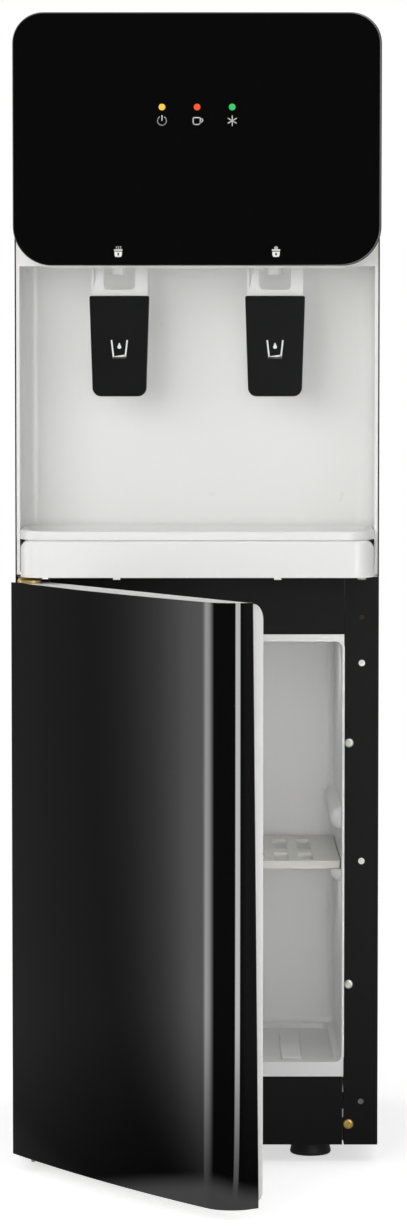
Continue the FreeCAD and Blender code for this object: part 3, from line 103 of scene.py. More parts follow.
def noise(tree, scale, detail=4.0, stretch=(1.0, 1.0, 1.0)):
    place = tree.nodes.new("ShaderNodeTexCoord")
    mapping = tree.nodes.new("ShaderNodeMapping")
    mapping.inputs["Scale"].default_value = stretch
    texture = tree.nodes.new("ShaderNodeTexNoise")
    texture.inputs["Scale"].default_value = scale
    texture.inputs["Detail"].default_value = detail
    tree.links.new(place.outputs["Object"], mapping.inputs["Vector"])
    tree.links.new(mapping.outputs["Vector"], texture.inputs["Vector"])
    return texture.outputs["Fac"]


def spread(tree, source, low, high):
    ramp = tree.nodes.new("ShaderNodeMapRange")
    ramp.inputs["To Min"].default_value = low
    ramp.inputs["To Max"].default_value = high
    tree.links.new(source, ramp.inputs["Value"])
    return ramp.outputs["Result"]


def tinted(tree, source, base, change):
    """Colour that wanders round the base by the given share."""
    mix = tree.nodes.new("ShaderNodeMix")
    mix.data_type = "RGBA"
    mix.inputs[6].default_value = [part * (1 - change) for part in base] + [1.0]
    mix.inputs[7].default_value = [min(1.0, part * (1 + change)) for part in base] + [1.0]
    tree.links.new(source, mix.inputs[0])
    return mix.outputs[2]


def bump(tree, shader, source, strength, distance):
    node = tree.nodes.new("ShaderNodeBump")
    node.inputs["Strength"].default_value = strength
    node.inputs["Distance"].default_value = distance
    tree.links.new(source, node.inputs["Height"])
    tree.links.new(node.outputs["Normal"], shader.inputs["Normal"])


def moulded(name, base, rough, grain=900.0, depth=0.00004, change=0.004):
    """Moulded plastic: faint tone drift, uneven polish and fine grain."""
    material, tree, shader = new_material(name)
    tree.links.new(tinted(tree, noise(tree, 7.0, 1.0), base, change), shader.inputs["Base Color"])
    tree.links.new(spread(tree, noise(tree, 35.0), rough * 0.95, rough * 1.05),
                   shader.inputs["Roughness"])
    bump(tree, shader, noise(tree, grain, 2.0), 0.08, depth)
    return material


def gloss(name, base, rough=0.02, level=1.0):
    """High-gloss black moulding: nearly flat, with a trace of surface wave."""
    material, tree, shader = new_material(name)
    tree.links.new(tinted(tree, noise(tree, 4.0), base, 0.1), shader.inputs["Base Color"])
    tree.links.new(spread(tree, noise(tree, 60.0), rough * 0.7, rough * 1.4),
                   shader.inputs["Roughness"])
    shader.inputs["Specular IOR Level"].default_value = level
    bump(tree, shader, noise(tree, 18.0, 1.0), 0.03, 0.0001)
    return material


def coated(name, base, rough=0.42, grain=1400.0):
    """Coated steel or satin plastic with a fine orange-peel texture."""
    material, tree, shader = new_material(name)
    tree.links.new(tinted(tree, noise(tree, 12.0), base, 0.12), shader.inputs["Base Color"])
    tree.links.new(spread(tree, noise(tree, 90.0), rough * 0.85, rough * 1.2),
                   shader.inputs["Roughness"])
    shader.inputs["Specular IOR Level"].default_value = 0.14
    bump(tree, shader, noise(tree, grain, 3.0), 0.35, 0.00008)
    return material


def metal(name, base, rough, stretch=(1.0, 1.0, 1.0), scale=220.0, change=0.08, share=1.0):
    """Bare or plated metal with streaks along one direction; a dull plating is metal only in part."""
    material, tree, shader = new_material(name)
    shader.inputs["Metallic"].default_value = share
    streaks = noise(tree, scale, 3.0, stretch)
    tree.links.new(tinted(tree, streaks, base, change), shader.inputs["Base Color"])
    tree.links.new(spread(tree, streaks, rough * 0.75, rough * 1.3), shader.inputs["Roughness"])
    bump(tree, shader, streaks, 0.08, 0.00005)
    return material


def foamed(name, base):
    """Rigid foam: open cells and a patchy yellow tone."""
    material, tree, shader = new_material(name)
    place = tree.nodes.new("ShaderNodeTexCoord")
    cells = tree.nodes.new("ShaderNodeTexVoronoi")
    cells.inputs["Scale"].default_value = 450.0
    tree.links.new(place.outputs["Object"], cells.inputs["Vector"])
    tree.links.new(tinted(tree, noise(tree, 30.0), base, 0.08), shader.inputs["Base Color"])
    shader.inputs["Roughness"].default_value = 0.9
    bump(tree, shader, cells.outputs["Distance"], 0.5, 0.0006)
    return material


def lit(name, base, strength):
    """Lamp lens: clear coloured plastic that glows evenly."""
    material, tree, shader = new_material(name)
    tree.links.new(tinted(tree, noise(tree, 300.0), base, 0.1), shader.inputs["Base Color"])
    shader.inputs["Roughness"].default_value = 0.15
    shader.inputs["Emission Color"].default_value = (*base, 1.0)
    shader.inputs["Emission Strength"].default_value = strength
    return material


def make_finishes(colours):
    """One material for each of the record's slots."""
    steel = colours.steel_black
    return {
        "black_steel": coated("powder_coated_steel", steel),
        "zinc_sheet": metal("galvanised_sheet", colours.zinc, 0.38, (1.0, 1.0, 0.2), 90.0, 0.12),
        "liner_white": moulded("vacuum_formed_liner", colours.liner, 0.30, 400.0),
        "foam": foamed("rigid_foam", (0.72, 0.60, 0.34)),
        "foam_white": moulded("door_core_white", colours.white, 0.42, 700.0),
        "cream_plastic": moulded("shelf_plastic", colours.cream, 0.38, 700.0),
        "black_foot": moulded("foot_rubber", (0.012, 0.012, 0.012), 0.6, 1100.0, 0.0001),
        "screw_steel": metal("plated_steel", (0.66, 0.66, 0.62), 0.3, share=0.6),
        "yellow_zinc": metal("yellow_passivated_zinc", colours.yellow_zinc, 0.32, scale=160.0, change=0.3,
                             share=0.6),
        "white_plastic": moulded("white_moulding", colours.white, 0.28),
        "black_gloss": gloss("gloss_black_moulding", colours.gloss_black),
        "gasket_grey": moulded("seal_grey", (0.30, 0.30, 0.30), 0.55, 900.0),
        "lamp_yellow": lit("lamp_lens_yellow", (0.80, 0.47, 0.05), 0.30),
        "lamp_red": lit("lamp_lens_red", (0.80, 0.07, 0.02), 0.30),
        "lamp_green": lit("lamp_lens_green", (0.02, 0.48, 0.10), 0.30),
        "circuit_green": moulded("circuit_lacquer", (0.02, 0.14, 0.05), 0.35, 500.0),
        "black_pad": coated("paddle_pad_black", colours.pad_black, 0.35, 1300.0),
        "stainless": metal("brushed_stainless", (0.60, 0.60, 0.60), 0.28, (1.0, 1.0, 0.05), 300.0),
        "silicone": moulded("silicone_tube", (0.70, 0.70, 0.66), 0.45, 600.0),
        "compressor_black": coated("compressor_enamel", (0.008, 0.008, 0.008), 0.3, 500.0),
        "copper": metal("bare_copper", (0.78, 0.36, 0.22), 0.3, (1.0, 1.0, 0.3), 120.0, 0.15),
        "condenser_black": coated("condenser_paint", (0.010, 0.010, 0.010), 0.4, 900.0),
        "switch_red": moulded("rocker_red", (0.45, 0.015, 0.012), 0.25, 800.0),
        "switch_green": moulded("rocker_green", (0.02, 0.22, 0.05), 0.25, 800.0),
        "black_plastic": moulded("black_moulding", (0.012, 0.012, 0.012), 0.4, 900.0),
        "drain_cap": moulded("drain_cap_plastic", (0.55, 0.55, 0.54), 0.4, 700.0),
    }


finishes = {}


def finish_of(slot):
    if not finishes:
        finishes.update(make_finishes(bpy.context.scene.cooler_colours))
    return finishes[slot]


# ---- Modelling helpers ----
def deselect():
    if bpy.context.object is not None and bpy.context.object.mode != "OBJECT":
        bpy.ops.object.mode_set(mode="OBJECT")
    bpy.ops.object.select_all(action="DESELECT")


def only(piece):
    deselect()
    piece.select_set(True)
    bpy.context.view_layer.objects.active = piece


def settle(piece, matrix=None):
    """Put the piece's place into its mesh, so that its object sits at the origin."""
    if matrix is not None:
        piece.matrix_world = matrix @ piece.matrix_world
    only(piece)
    bpy.ops.object.transform_apply(location=True, rotation=True, scale=True)


def joined(pieces, name):
    deselect()
    for piece in pieces:
        piece.select_set(True)
    bpy.context.view_layer.objects.active = pieces[0]
    if len(pieces) > 1:
        bpy.ops.object.join()
    whole = bpy.context.object
    whole.name = name
    whole.data.name = name
    settle(whole)
    return whole


def finished(piece, body, slot, *nodes):
    piece.data.materials.clear()
    piece.data.materials.append(finish_of(slot))
    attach(piece, body)
    if nodes:
        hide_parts(*nodes)


def swung(x, y, z):
    """Matrix that takes a piece modelled on the shut door to the open rest pose."""
    joint = joints["door_hinge"]
    pin = Vector((joint["pos_m"][0], joint["pos_m"][1], 0.0))
    turn = Matrix.Rotation(math.radians(joint["range_deg"][0]), 4, "Z")
    return Matrix.Translation(pin) @ turn @ Matrix.Translation(-pin) @ Matrix.Translation((x, y, z))


def stroke(start, end, width, depth, face_y):
    """Flat printed line between two points (x, z) on a face that looks to the front."""
    dx, dz = end[0] - start[0], end[1] - start[1]
    middle = ((start[0] + end[0]) / 2, face_y - depth / 2, (start[1] + end[1]) / 2)
    bpy.ops.mesh.primitive_cube_add(size=1.0, location=middle,
                                    rotation=(0.0, -math.atan2(dz, dx), 0.0))
    line = bpy.context.object
    line.scale = (math.hypot(dx, dz) + width, depth, width)
    settle(line)
    return line


def polyline(points, centre, height, width, depth):
    """Printed strokes along points given in shares of the symbol's height."""
    placed = [(centre[0] + x * height, centre[2] + z * height) for x, z in points]
    return [stroke(a, b, width, depth, centre[1]) for a, b in zip(placed, placed[1:])]


def arc_points(radius, start, end, count, middle=(0.0, 0.0)):
    step = (end - start) / count
    turns = [math.radians(start + step * i) for i in range(count + 1)]
    return [(middle[0] + radius * math.cos(t), middle[1] + radius * math.sin(t)) for t in turns]


def drop(centre, height, depth):
    """Printed water drop: a disc whose top is drawn up to a point."""
    radius = height * 0.34
    place = (centre[0], centre[1] - depth / 2, centre[2] - height * 0.16)
    bpy.ops.mesh.primitive_cylinder_add(vertices=24, radius=radius, depth=depth, location=place,
                                        rotation=(math.pi / 2, 0.0, 0.0))
    disc = bpy.context.object
    settle(disc)
    for vertex in disc.data.vertices:
        rise = (vertex.co.z - place[2]) / radius
        if rise > 0.0:
            vertex.co.z += radius * 0.95 * rise ** 3
            vertex.co.x = place[0] + (vertex.co.x - place[0]) * (1.0 - 0.45 * rise)
    return disc


def block(centre, height, low, high, depth, taper):
    """Filled printed patch between two corners in shares of the height, drawn in at its foot."""
    middle = (centre[0] + (low[0] + high[0]) / 2 * height, centre[1] - depth / 2,
              centre[2] + (low[1] + high[1]) / 2 * height)
    bpy.ops.mesh.primitive_cube_add(size=1.0, location=middle)
    patch = bpy.context.object
    patch.scale = ((high[0] - low[0]) * height, depth, (high[1] - low[1]) * height)
    settle(patch)
    for vertex in patch.data.vertices:
        if vertex.co.z < middle[2]:
            vertex.co.x += taper * height * (1.0 if vertex.co.x < middle[0] else -1.0)
    return patch


# ---- Operators ----
class COOLER_OT_stage(bpy.types.Operator):
    """Lay the studio floor and set the lamps, the world and the camera"""
    bl_idname = "cooler.stage"
    bl_label = "Studio"

    # Name, place, target, size, power and spread in degrees. fill_shelf and fill_sump are small
    # because they stand inside the compartment.
    lamps = (("key_left", (-1.8, -3.2, 1.4), (0.0, 0.0, 0.60), (2.4, 2.4), 50.0, 180.0),
             ("fill_right", (2.3, -2.9, 1.2), (0.0, 0.0, 0.45), (1.2, 2.2), 10.0, 180.0),
             ("fill_front", (-0.5, -4.8, 1.1), (0.0, 0.0, 0.55), (2.6, 2.0), 30.0, 180.0),
             ("fill_low", (0.16, -3.9, 0.42), (0.09, 0.0, 0.27), (0.5, 0.5), 0.13, 12.0),
             ("fill_shelf", (0.07, -0.11, 0.435), (0.07, -0.03, 0.25), (0.12, 0.05), 0.035, 180.0),
             ("fill_sump", (0.09, -0.12, 0.235), (0.09, -0.02, 0.09), (0.08, 0.04), 0.018, 180.0),
             ("top_soft", (0.0, -0.4, 3.2), (0.0, 0.0, 0.4), (2.4, 2.4), 10.0, 180.0))
    camera_place = (0.00535, -4.1701, 0.7774)
    camera_pitch = 4.353     # degrees down
    camera_lens = 137.98
    plain_level = 0.42       # world light on dull surfaces
    overhead_rise = (0.45, 0.75)
    overhead_level = 1.2
    # The floor adds a lift for the camera and turns plain white over a ring round the cooler.
    floor_lift = 0.57
    shadow_middle = (0.0, -0.15, 0.0)
    shadow_fade = (0.34, 0.60)
    # The floor mirrors the surround as seen from a point on the door's face, over these distances.
    mirror_inset = (46.4 * MM, 12.6 * MM)
    mirror_fade = (-0.1, 1.2)
    mirror_start = (0.12, 0.22)

    # What polished surfaces mirror all round: turn from the front in degrees (minus is the
    # viewer's left) and brightness. It is fitted to the front view alone: a flat gloss face seen
    # from 12 to 30 degrees left of the front mirrors the bright strip and looks grey.
    surround = ((-180, 1.0), (-150, 0.7), (-132, 0.16), (-121, 0.10), (-112, 0.075), (-108.8, 0.12),
                (-105.7, 0.25), (-103.2, 0.45), (-100.5, 0.85), (-94, 0.8), (-86, 0.5), (-78, 0.2),
                (-66, 0.02), (12, 0.02), (13.5, 5.8), (28.5, 5.8), (30.5, 0.02), (52, 0.08), (76, 0.08),
                (100, 0.3), (128, 0.35), (150, 1.0), (180, 1.0))
    # The panel on the left starts too sharply for the ramp's table: it rises over the first pair
    # of turns and fades out over the second.
    panel_start = (-100.4, -100.2)
    panel_end = (-88.0, -67.0)
    panel_level = 2.3
    brightest = 10.0

    def execute(self, context):
        deselect()
        self.lay_floor(context)
        for lamp in self.lamps:
            self.add_lamp(*lamp)
        self.build_world(context)
        camera = bpy.data.objects.new("view_camera", bpy.data.cameras.new("view_camera"))
        context.collection.objects.link(camera)
        camera.location = self.camera_place
        camera.rotation_euler = (math.radians(90.0 - self.camera_pitch), 0.0, 0.0)
        camera.data.lens = self.camera_lens
        camera.data.sensor_width = 36.0
        camera.data.sensor_fit = "AUTO"
        context.scene.camera = camera
        context.scene.view_settings.view_transform = "Standard"
        return {"FINISHED"}

    def add_lamp(self, name, place, target, size, power, spread_angle):
        """Soft lamp; polished surfaces mirror the surround in its stead."""
        data = bpy.data.lights.new(name, "AREA")
        data.shape = "RECTANGLE"
        data.size, data.size_y = size
        data.energy = power
        data.spread = math.radians(spread_angle)
        lamp = bpy.data.objects.new(name, data)
        bpy.context.collection.objects.link(lamp)
        lamp.location = place
        lamp.rotation_euler = (Vector(target) - Vector(place)).to_track_quat("-Z", "Y").to_euler()
        lamp.visible_glossy = False

    def mirrored_light(self, tree, vector):
        """Brightness of the surround, as a share of its brightest, towards a direction."""
        parts = tree.nodes.new("ShaderNodeSeparateXYZ")
        tree.links.new(vector, parts.inputs["Vector"])
        back = self.calculate(tree, "MULTIPLY", parts.outputs["Y"], -1.0)
        turn = self.calculate(tree, "ARCTAN2", parts.outputs["X"], back)
        place = tree.nodes.new("ShaderNodeMapRange")
        place.inputs["From Min"].default_value = -math.pi
        place.inputs["From Max"].default_value = math.pi
        tree.links.new(turn, place.inputs["Value"])
        ramp = tree.nodes.new("ShaderNodeValToRGB")
        stops = ramp.color_ramp.elements
        while len(stops) > 1:
            stops.remove(stops[-1])
        for number, (degrees, level) in enumerate(self.surround):
            at = (degrees + 180.0) / 360.0
            stop = stops[0] if number == 0 else stops.new(at)
            stop.position = at
            stop.color = (*[level / self.brightest] * 3, 1.0)
        tree.links.new(place.outputs["Result"], ramp.inputs["Fac"])
        start = self.share_between(tree, turn, *self.panel_start)
        end = self.share_between(tree, turn, *reversed(self.panel_end))
        panel = self.calculate(tree, "MULTIPLY", self.calculate(tree, "MULTIPLY", start, end),
                               self.panel_level / self.brightest)
        return self.calculate(tree, "ADD", ramp.outputs["Color"], panel)

    def share_between(self, tree, turn, start, end):
        share = tree.nodes.new("ShaderNodeMapRange")
        share.inputs["From Min"].default_value = math.radians(start)
        share.inputs["From Max"].default_value = math.radians(end)
        tree.links.new(turn, share.inputs["Value"])
        return share.outputs["Result"]

    def calculate(self, tree, operation, first, second):
        node = tree.nodes.new("ShaderNodeMath")
        node.operation = operation
        for socket, value in zip(node.inputs, (first, second)):
            if isinstance(value, (int, float)):
                socket.default_value = value
            else:
                tree.links.new(value, socket)
        return node.outputs["Value"]

    def mixed(self, tree, share, first, second):
        node = tree.nodes.new("ShaderNodeMixShader")
        tree.links.new(share, node.inputs["Fac"])
        tree.links.new(first, node.inputs[1])
        tree.links.new(second, node.inputs[2])
        return node.outputs["Shader"]

    def glow(self, tree, kind, strength, source=None):
        node = tree.nodes.new(kind)
        node.inputs["Color"].default_value = (1.0, 1.0, 1.0, 1.0)
        node.inputs["Strength"].default_value = strength
        if source is not None:
            tree.links.new(source, node.inputs["Color"])
        return node.outputs[0]

    def near_to_far(self, tree, vector, near, far):
        """0 within the near distance of the vector's origin, 1 beyond the far one."""
        reach = tree.nodes.new("ShaderNodeVectorMath")
        reach.operation = "LENGTH"
        tree.links.new(vector, reach.inputs[0])
        fade = tree.nodes.new("ShaderNodeMapRange")
        fade.interpolation_type = "SMOOTHSTEP"
        fade.inputs["From Min"].default_value = near
        fade.inputs["From Max"].default_value = far
        tree.links.new(reach.outputs["Value"], fade.inputs["Value"])
        return fade.outputs["Result"]

    def moved(self, tree, vector, offset):
        node = tree.nodes.new("ShaderNodeVectorMath")
        node.operation = "SUBTRACT"
        node.inputs[1].default_value = offset
        tree.links.new(vector, node.inputs[0])
        return node.outputs["Vector"]

    def lay_floor(self, context):
        """White floor that keeps the shadow near the object and is plain white further off."""
        bpy.ops.mesh.primitive_plane_add(size=16.0, location=(0.0, 1.0, 0.0))
        floor = context.object
        floor.name = "studio_floor"
        settle(floor)
        material, tree, shader = new_material("studio_floor_paint")
        tree.links.new(tinted(tree, noise(tree, 0.8), context.scene.cooler_colours.floor, 0.004),
                       shader.inputs["Base Color"])
        shader.inputs["Roughness"].default_value = 0.9
        shader.inputs["Specular IOR Level"].default_value = 0.1
        path = tree.nodes.new("ShaderNodeLightPath")
        place = tree.nodes.new("ShaderNodeTexCoord").outputs["Object"]
        lift = self.mixed(tree, path.outputs["Is Camera Ray"],
                          self.glow(tree, "ShaderNodeEmission", 0.0),
                          self.glow(tree, "ShaderNodeEmission", self.floor_lift))
        lifted = tree.nodes.new("ShaderNodeAddShader")
        tree.links.new(shader.outputs["BSDF"], lifted.inputs[0])
        tree.links.new(lift, lifted.inputs[1])
        far = self.near_to_far(tree, self.moved(tree, place, self.shadow_middle), *self.shadow_fade)
        share = self.calculate(tree, "MULTIPLY", far, path.outputs["Is Camera Ray"])
        surface = self.mixed(tree, share, lifted.outputs["Shader"],
                             self.glow(tree, "ShaderNodeEmission", 1.0))
        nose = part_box("door_skin")[1][0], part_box("door_skin")[0][1]
        origin = (nose[0] - self.mirror_inset[0], nose[1] + self.mirror_inset[1], 0.0)
        from_nose = self.moved(tree, place, origin)
        light = self.mirrored_light(tree, from_nose)
        light = self.calculate(tree, "MULTIPLY", light,
                               self.near_to_far(tree, from_nose, *self.mirror_fade))
        share = self.calculate(tree, "MULTIPLY",
                               self.near_to_far(tree, from_nose, *self.mirror_start),
                               path.outputs["Is Glossy Ray"])
        surface = self.mixed(tree, share, surface,
                             self.glow(tree, "ShaderNodeEmission", self.brightest, light))
        tree.links.new(surface, tree.nodes["Material Output"].inputs["Surface"])
        floor.data.materials.append(material)

    def build_world(self, context):
        world = context.scene.world or bpy.data.worlds.new("studio")
        context.scene.world = world
        world.use_nodes = True
        tree = world.node_tree
        tree.nodes.clear()
        output = tree.nodes.new("ShaderNodeOutputWorld")
        path = tree.nodes.new("ShaderNodeLightPath")
        plain = self.glow(tree, "ShaderNodeBackground", self.plain_level)
        white = self.glow(tree, "ShaderNodeBackground", 1.0)
        direction = tree.nodes.new("ShaderNodeTexCoord").outputs["Generated"]
        light = self.mirrored_light(tree, direction)
        parts = tree.nodes.new("ShaderNodeSeparateXYZ")
        tree.links.new(direction, parts.inputs["Vector"])
        overhead = tree.nodes.new("ShaderNodeMapRange")
        overhead.interpolation_type = "SMOOTHSTEP"
        overhead.inputs["From Min"].default_value = self.overhead_rise[0]
        overhead.inputs["From Max"].default_value = self.overhead_rise[1]
        overhead.inputs["To Max"].default_value = self.overhead_level / self.brightest
        tree.links.new(parts.outputs["Z"], overhead.inputs["Value"])
        brighter = self.calculate(tree, "MAXIMUM", light, overhead.outputs["Result"])
        shiny = self.glow(tree, "ShaderNodeBackground", self.brightest, brighter)
        surface = self.mixed(tree, path.outputs["Is Glossy Ray"], plain, shiny)
        seen = self.calculate(tree, "MAXIMUM", path.outputs["Is Camera Ray"],
                              path.outputs["Is Transmission Ray"])
        tree.links.new(self.mixed(tree, seen, surface, white), output.inputs["Surface"])


class COOLER_OT_finishes(bpy.types.Operator):
    """Give every piece of the frame its procedural finish"""
    bl_idname = "cooler.finishes"
    bl_label = "Finishes"

    def execute(self, context):
        for part in frame["record"]["subparts"]:
            node = frame["nodes"][part["node"]]
            for place in node.material_slots:
                place.material = finish_of(part["material_slot"])
            if not node.material_slots:
                node.data.materials.append(finish_of(part["material_slot"]))
        return {"FINISHED"}


class COOLER_OT_symbols(bpy.types.Operator):
    """Print plain symbols on the control panel and the paddle pads"""
    bl_idname = "cooler.symbols"
    bl_label = "Printed Symbols"

    below_lamp = 11.4 * MM
    over_panel_foot = 11.8 * MM
    below_pad_middle = 3.0 * MM

    def execute(self, context):
        sizes = context.scene.cooler_sizes
        self.width, self.depth = sizes.stroke, sizes.print_depth
        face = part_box("control_panel")[0][1]
        lamps = [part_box(name) for name in ("lamp_power", "lamp_heating", "lamp_cooling")]
        height = sizes.panel_symbol
        centres = [((low[0] + high[0]) / 2, face, (low[2] + high[2]) / 2 - self.below_lamp)
                   for low, high in lamps]
        self.keep(self.power(centres[0], height), "symbol_power", "cabinet")
        self.keep(self.mug(centres[1], height), "symbol_mug", "cabinet")
        self.keep(self.flake(centres[2], height * 1.1), "symbol_flake", "cabinet")
        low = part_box("control_panel")[0]
        for name, steam in (("hot", True), ("cold", False)):
            pad_low, pad_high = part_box(name + "_tap_pad")
            x = (pad_low[0] + pad_high[0]) / 2
            centre = (x, face, low[2] + self.over_panel_foot)
            self.keep(self.tap_cup(centre, sizes.tap_symbol, steam),
                      "symbol_" + name + "_tap", "cabinet")
            centre = (x, pad_low[1], (pad_low[2] + pad_high[2]) / 2 - self.below_pad_middle)
            self.keep(self.pad_cup(centre, sizes.pad_symbol),
                      "symbol_" + name + "_pad", name + "_paddle")
        return {"FINISHED"}

    def keep(self, pieces, name, body):
        finished(joined(pieces, name), body, "white_plastic")

    def line(self, points, centre, height, share=1.0):
        return polyline(points, centre, height, self.width * share, self.depth)

    def power(self, centre, height):
        ring = arc_points(0.5, 125.0, 415.0, 20)
        return self.line(ring, centre, height) + self.line([(0.0, 0.05), (0.0, 0.58)], centre, height)

    def mug(self, centre, height):
        body = [(-0.45, 0.35), (-0.45, -0.25), (-0.3, -0.42), (0.2, -0.42), (0.35, -0.25),
                (0.35, 0.35), (-0.45, 0.35)]
        handle = [(0.35, 0.2), (0.62, 0.2), (0.62, -0.12), (0.35, -0.12)]
        return self.line(body, centre, height) + self.line(handle, centre, height)

    def flake(self, centre, height):
        pieces = []
        for turn in (30.0, 90.0, 150.0):
            t = math.radians(turn)
            pieces += self.line([(-0.5 * math.cos(t), -0.5 * math.sin(t)),
                                 (0.5 * math.cos(t), 0.5 * math.sin(t))], centre, height, 0.8)
        return pieces

    def tap_cup(self, centre, height, steam):
        """Filled cup with a rim and a small window; steam or a flake stands over it."""
        x, y, z = centre
        size = height * 0.76
        middle = (x, y, z - 0.14 * height)
        cup = [block(middle, size, (-0.42, -0.5), (0.42, -0.3), self.depth, 0.05),
               block(middle, size, (-0.47, -0.3), (-0.1, 0.02), self.depth, 0.0),
               block(middle, size, (0.1, -0.3), (0.47, 0.02), self.depth, 0.0),
               block(middle, size, (-0.5, 0.02), (0.5, 0.18), self.depth, 0.02),
               block(middle, size, (-0.56, 0.3), (0.56, 0.46), self.depth, 0.02)]
        if steam:
            for shift in (-0.2, 0.0, 0.2):
                wisp = [(shift, 0.2), (shift + 0.05, 0.29), (shift, 0.38), (shift + 0.05, 0.48)]
                cup += self.line(wisp, centre, height, 0.75)
            return cup
        return cup + self.flake((x, y, z + 0.33 * height), height * 0.36)

    def pad_cup(self, centre, height):
        """Open cup with water at its bottom and a drop over it."""
        x, y, z = centre
        cup = self.line([(-0.44, 0.5), (-0.33, -0.46), (0.33, -0.46), (0.44, 0.5)], centre, height, 1.9)
        water = block(centre, height, (-0.33, -0.5), (0.35, -0.28), self.depth, 0.0)
        for vertex in water.data.vertices:
            if vertex.co.x < x and vertex.co.z > z - 0.4 * height:
                vertex.co.z -= 0.1 * height
        cup.append(water)
        cup.append(drop((x, y, z + 0.22 * height), height * 0.34, self.depth))
        return cup


class COOLER_OT_screws(bpy.types.Operator):
    """Model the pan-head screws of the front columns with their cross recesses"""
    bl_idname = "cooler.screws"
    bl_label = "Column Screws"

    radius, height = 3.85 * MM, 2.0 * MM
    column_inset = 3.9 * MM
    column_heights = (362.5 * MM, 154.3 * MM)
    yellow_radius, yellow_z = 4.3 * MM, 33.0 * MM
    flush_radius, flush_height, flush_z = 4.0 * MM, 0.4 * MM, 52.5 * MM
    shank = 9.0 * MM

    def execute(self, context):
        self.cross = context.scene.cooler_sizes.screw_cross
        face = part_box("front_column_right")[0][1]
        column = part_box("front_column_right")[0][0] + self.column_inset
        radius = self.radius
        heads = [self.head(x, face, z, radius, self.height)
                 for x in (-column, column) for z in self.column_heights]
        low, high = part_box("column_screws")
        under_skirt = self.head(0.0, 0.0, 0.0, radius, self.height)
        place = Matrix.Translation((high[0] - radius, low[1] + radius, high[2]))
        settle(under_skirt, place @ Matrix.Rotation(math.pi / 2, 4, "X"))
        heads.append(under_skirt)
        finished(joined(heads, "column_screw_heads"), "cabinet", "screw_steel", "column_screws")
        low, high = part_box("yellow_screws")
        heads = [self.head(x, face, self.yellow_z, self.yellow_radius, self.height)
                 for x in (-column, column)]
        flush = self.flush_radius
        heads += [self.head(low[0] + flush, face, z, flush, self.flush_height)
                  for z in (self.flush_z, high[2] - flush)]
        finished(joined(heads, "yellow_screw_heads"), "cabinet", "yellow_zinc", "yellow_screws")
        return {"FINISHED"}

    def head(self, x, face, z, radius, height):
        bpy.ops.mesh.primitive_cylinder_add(vertices=40, radius=radius, depth=height,
                                            location=(x, face - height / 2, z),
                                            rotation=(math.pi / 2, 0.0, 0.0))
        cap = bpy.context.object
        settle(cap)
        bpy.ops.object.mode_set(mode="EDIT")
        bpy.ops.mesh.select_all(action="DESELECT")
        mesh = bmesh.from_edit_mesh(cap.data)
        for edge in mesh.edges:
            edge.select = all(abs(v.co.y - (face - height)) < 1e-6 for v in edge.verts)
        bmesh.update_edit_mesh(cap.data)
        bpy.ops.mesh.bevel(offset=height * 0.75, segments=5, affect="EDGES")
        bpy.ops.object.mode_set(mode="OBJECT")
        for turn in (math.pi / 5, math.pi / 5 + math.pi / 2):
            bpy.ops.mesh.primitive_cube_add(size=1.0, location=(x, face - height, z),
                                            rotation=(0.0, turn, 0.0))
            slot_tool = bpy.context.object
            slot_tool.scale = (self.cross, height * 1.2, self.cross * 0.22)
            settle(slot_tool)
            only(cap)
            cut = cap.modifiers.new("cross", "BOOLEAN")
            cut.operation = "DIFFERENCE"
            cut.solver = "EXACT"
            cut.object = slot_tool
            bpy.ops.object.modifier_apply(modifier=cut.name)
            bpy.data.objects.remove(slot_tool)
        bpy.ops.mesh.primitive_cylinder_add(vertices=20, radius=radius * 0.48, depth=self.shank,
                                            location=(x, face + self.shank / 2, z),
                                            rotation=(math.pi / 2, 0.0, 0.0))
        stem = bpy.context.object
        settle(stem)
        whole = joined([cap, stem], "screw")
        bpy.ops.object.shade_smooth_by_angle(angle=math.radians(35.0))
        return whole


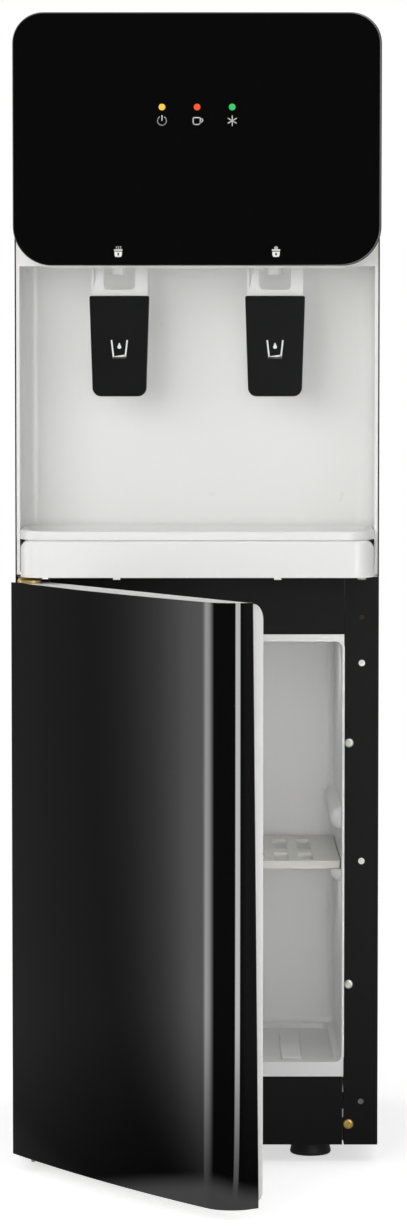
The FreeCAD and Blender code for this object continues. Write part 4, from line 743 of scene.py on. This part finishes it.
class COOLER_OT_door_seal(bpy.types.Operator):
    """Model the soft bellows seal on the back of the door"""
    bl_idname = "cooler.door_seal"
    bl_label = "Door Seal"

    half_width = 139.5 * MM
    column_gap, thickness, width = 4.0 * MM, 3.5 * MM, 5.5 * MM
    bellows_radius, bellows_rise = 2.2 * MM, 1.2 * MM
    corner = 11.0 * MM

    def execute(self, context):
        radius = context.scene.cooler_sizes.seal_tube
        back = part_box("front_column_right")[0][1] - self.column_gap
        low, high = [corner[2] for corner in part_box("door_gasket")]
        tubes = back + self.thickness - radius
        rings = []
        for inset, y, size in ((radius, tubes, radius), (self.width - radius, tubes, radius),
                               (self.width / 2, back + self.bellows_rise, self.bellows_radius)):
            rings.append(self.ring(self.half_width - inset, low + inset, high - inset, y, size,
                                   self.corner - inset))
        seal = joined(rings, "door_seal")
        settle(seal, swung(0.0, 0.0, 0.0))
        only(seal)
        bpy.ops.object.shade_smooth()
        finished(seal, "door", "gasket_grey", "door_gasket")
        return {"FINISHED"}

    def ring(self, half, low, high, y, size, corner):
        bpy.ops.mesh.primitive_plane_add(size=1.0, location=(0.0, y, (low + high) / 2),
                                         rotation=(math.pi / 2, 0.0, 0.0))
        sheet = bpy.context.object
        sheet.scale = (2 * half, high - low, 1.0)
        settle(sheet)
        bpy.ops.object.mode_set(mode="EDIT")
        bpy.ops.mesh.select_all(action="SELECT")
        bpy.ops.mesh.bevel(offset=corner, segments=8, affect="VERTICES")
        bpy.ops.mesh.delete(type="ONLY_FACE")
        bpy.ops.object.mode_set(mode="OBJECT")
        bpy.ops.object.convert(target="CURVE")
        ring = bpy.context.object
        ring.data.bevel_depth = size
        ring.data.bevel_resolution = 4
        bpy.ops.object.convert(target="MESH")
        return bpy.context.object


class COOLER_PT_panel(bpy.types.Panel):
    """Shows the cooler's operators and its size and colour settings"""
    bl_idname = "COOLER_PT_panel"
    bl_label = "Water Cooler"
    bl_space_type = "VIEW_3D"
    bl_region_type = "UI"
    bl_category = "Cooler"

    def draw(self, context):
        for operator in OPERATORS:
            self.layout.operator(operator.bl_idname)
        for group in (context.scene.cooler_sizes, context.scene.cooler_colours):
            for name in group.bl_rna.properties.keys():
                if name not in ("rna_type", "name"):
                    self.layout.prop(group, name)


OPERATORS = (COOLER_OT_stage, COOLER_OT_finishes, COOLER_OT_symbols, COOLER_OT_screws,
             COOLER_OT_door_seal)
CLASSES = (CoolerSizes, CoolerColours) + OPERATORS + (COOLER_PT_panel,)


def register():
    for item in CLASSES:
        bpy.utils.register_class(item)
    bpy.types.Scene.cooler_sizes = bpy.props.PointerProperty(type=CoolerSizes)
    bpy.types.Scene.cooler_colours = bpy.props.PointerProperty(type=CoolerColours)


def unregister():
    del bpy.types.Scene.cooler_colours
    del bpy.types.Scene.cooler_sizes
    for item in reversed(CLASSES):
        bpy.utils.unregister_class(item)


def main():
    register()
    for operator in OPERATORS:
        group, name = operator.bl_idname.split(".")
        getattr(getattr(bpy.ops, group), name)()


if __name__ == "__main__":
    main()
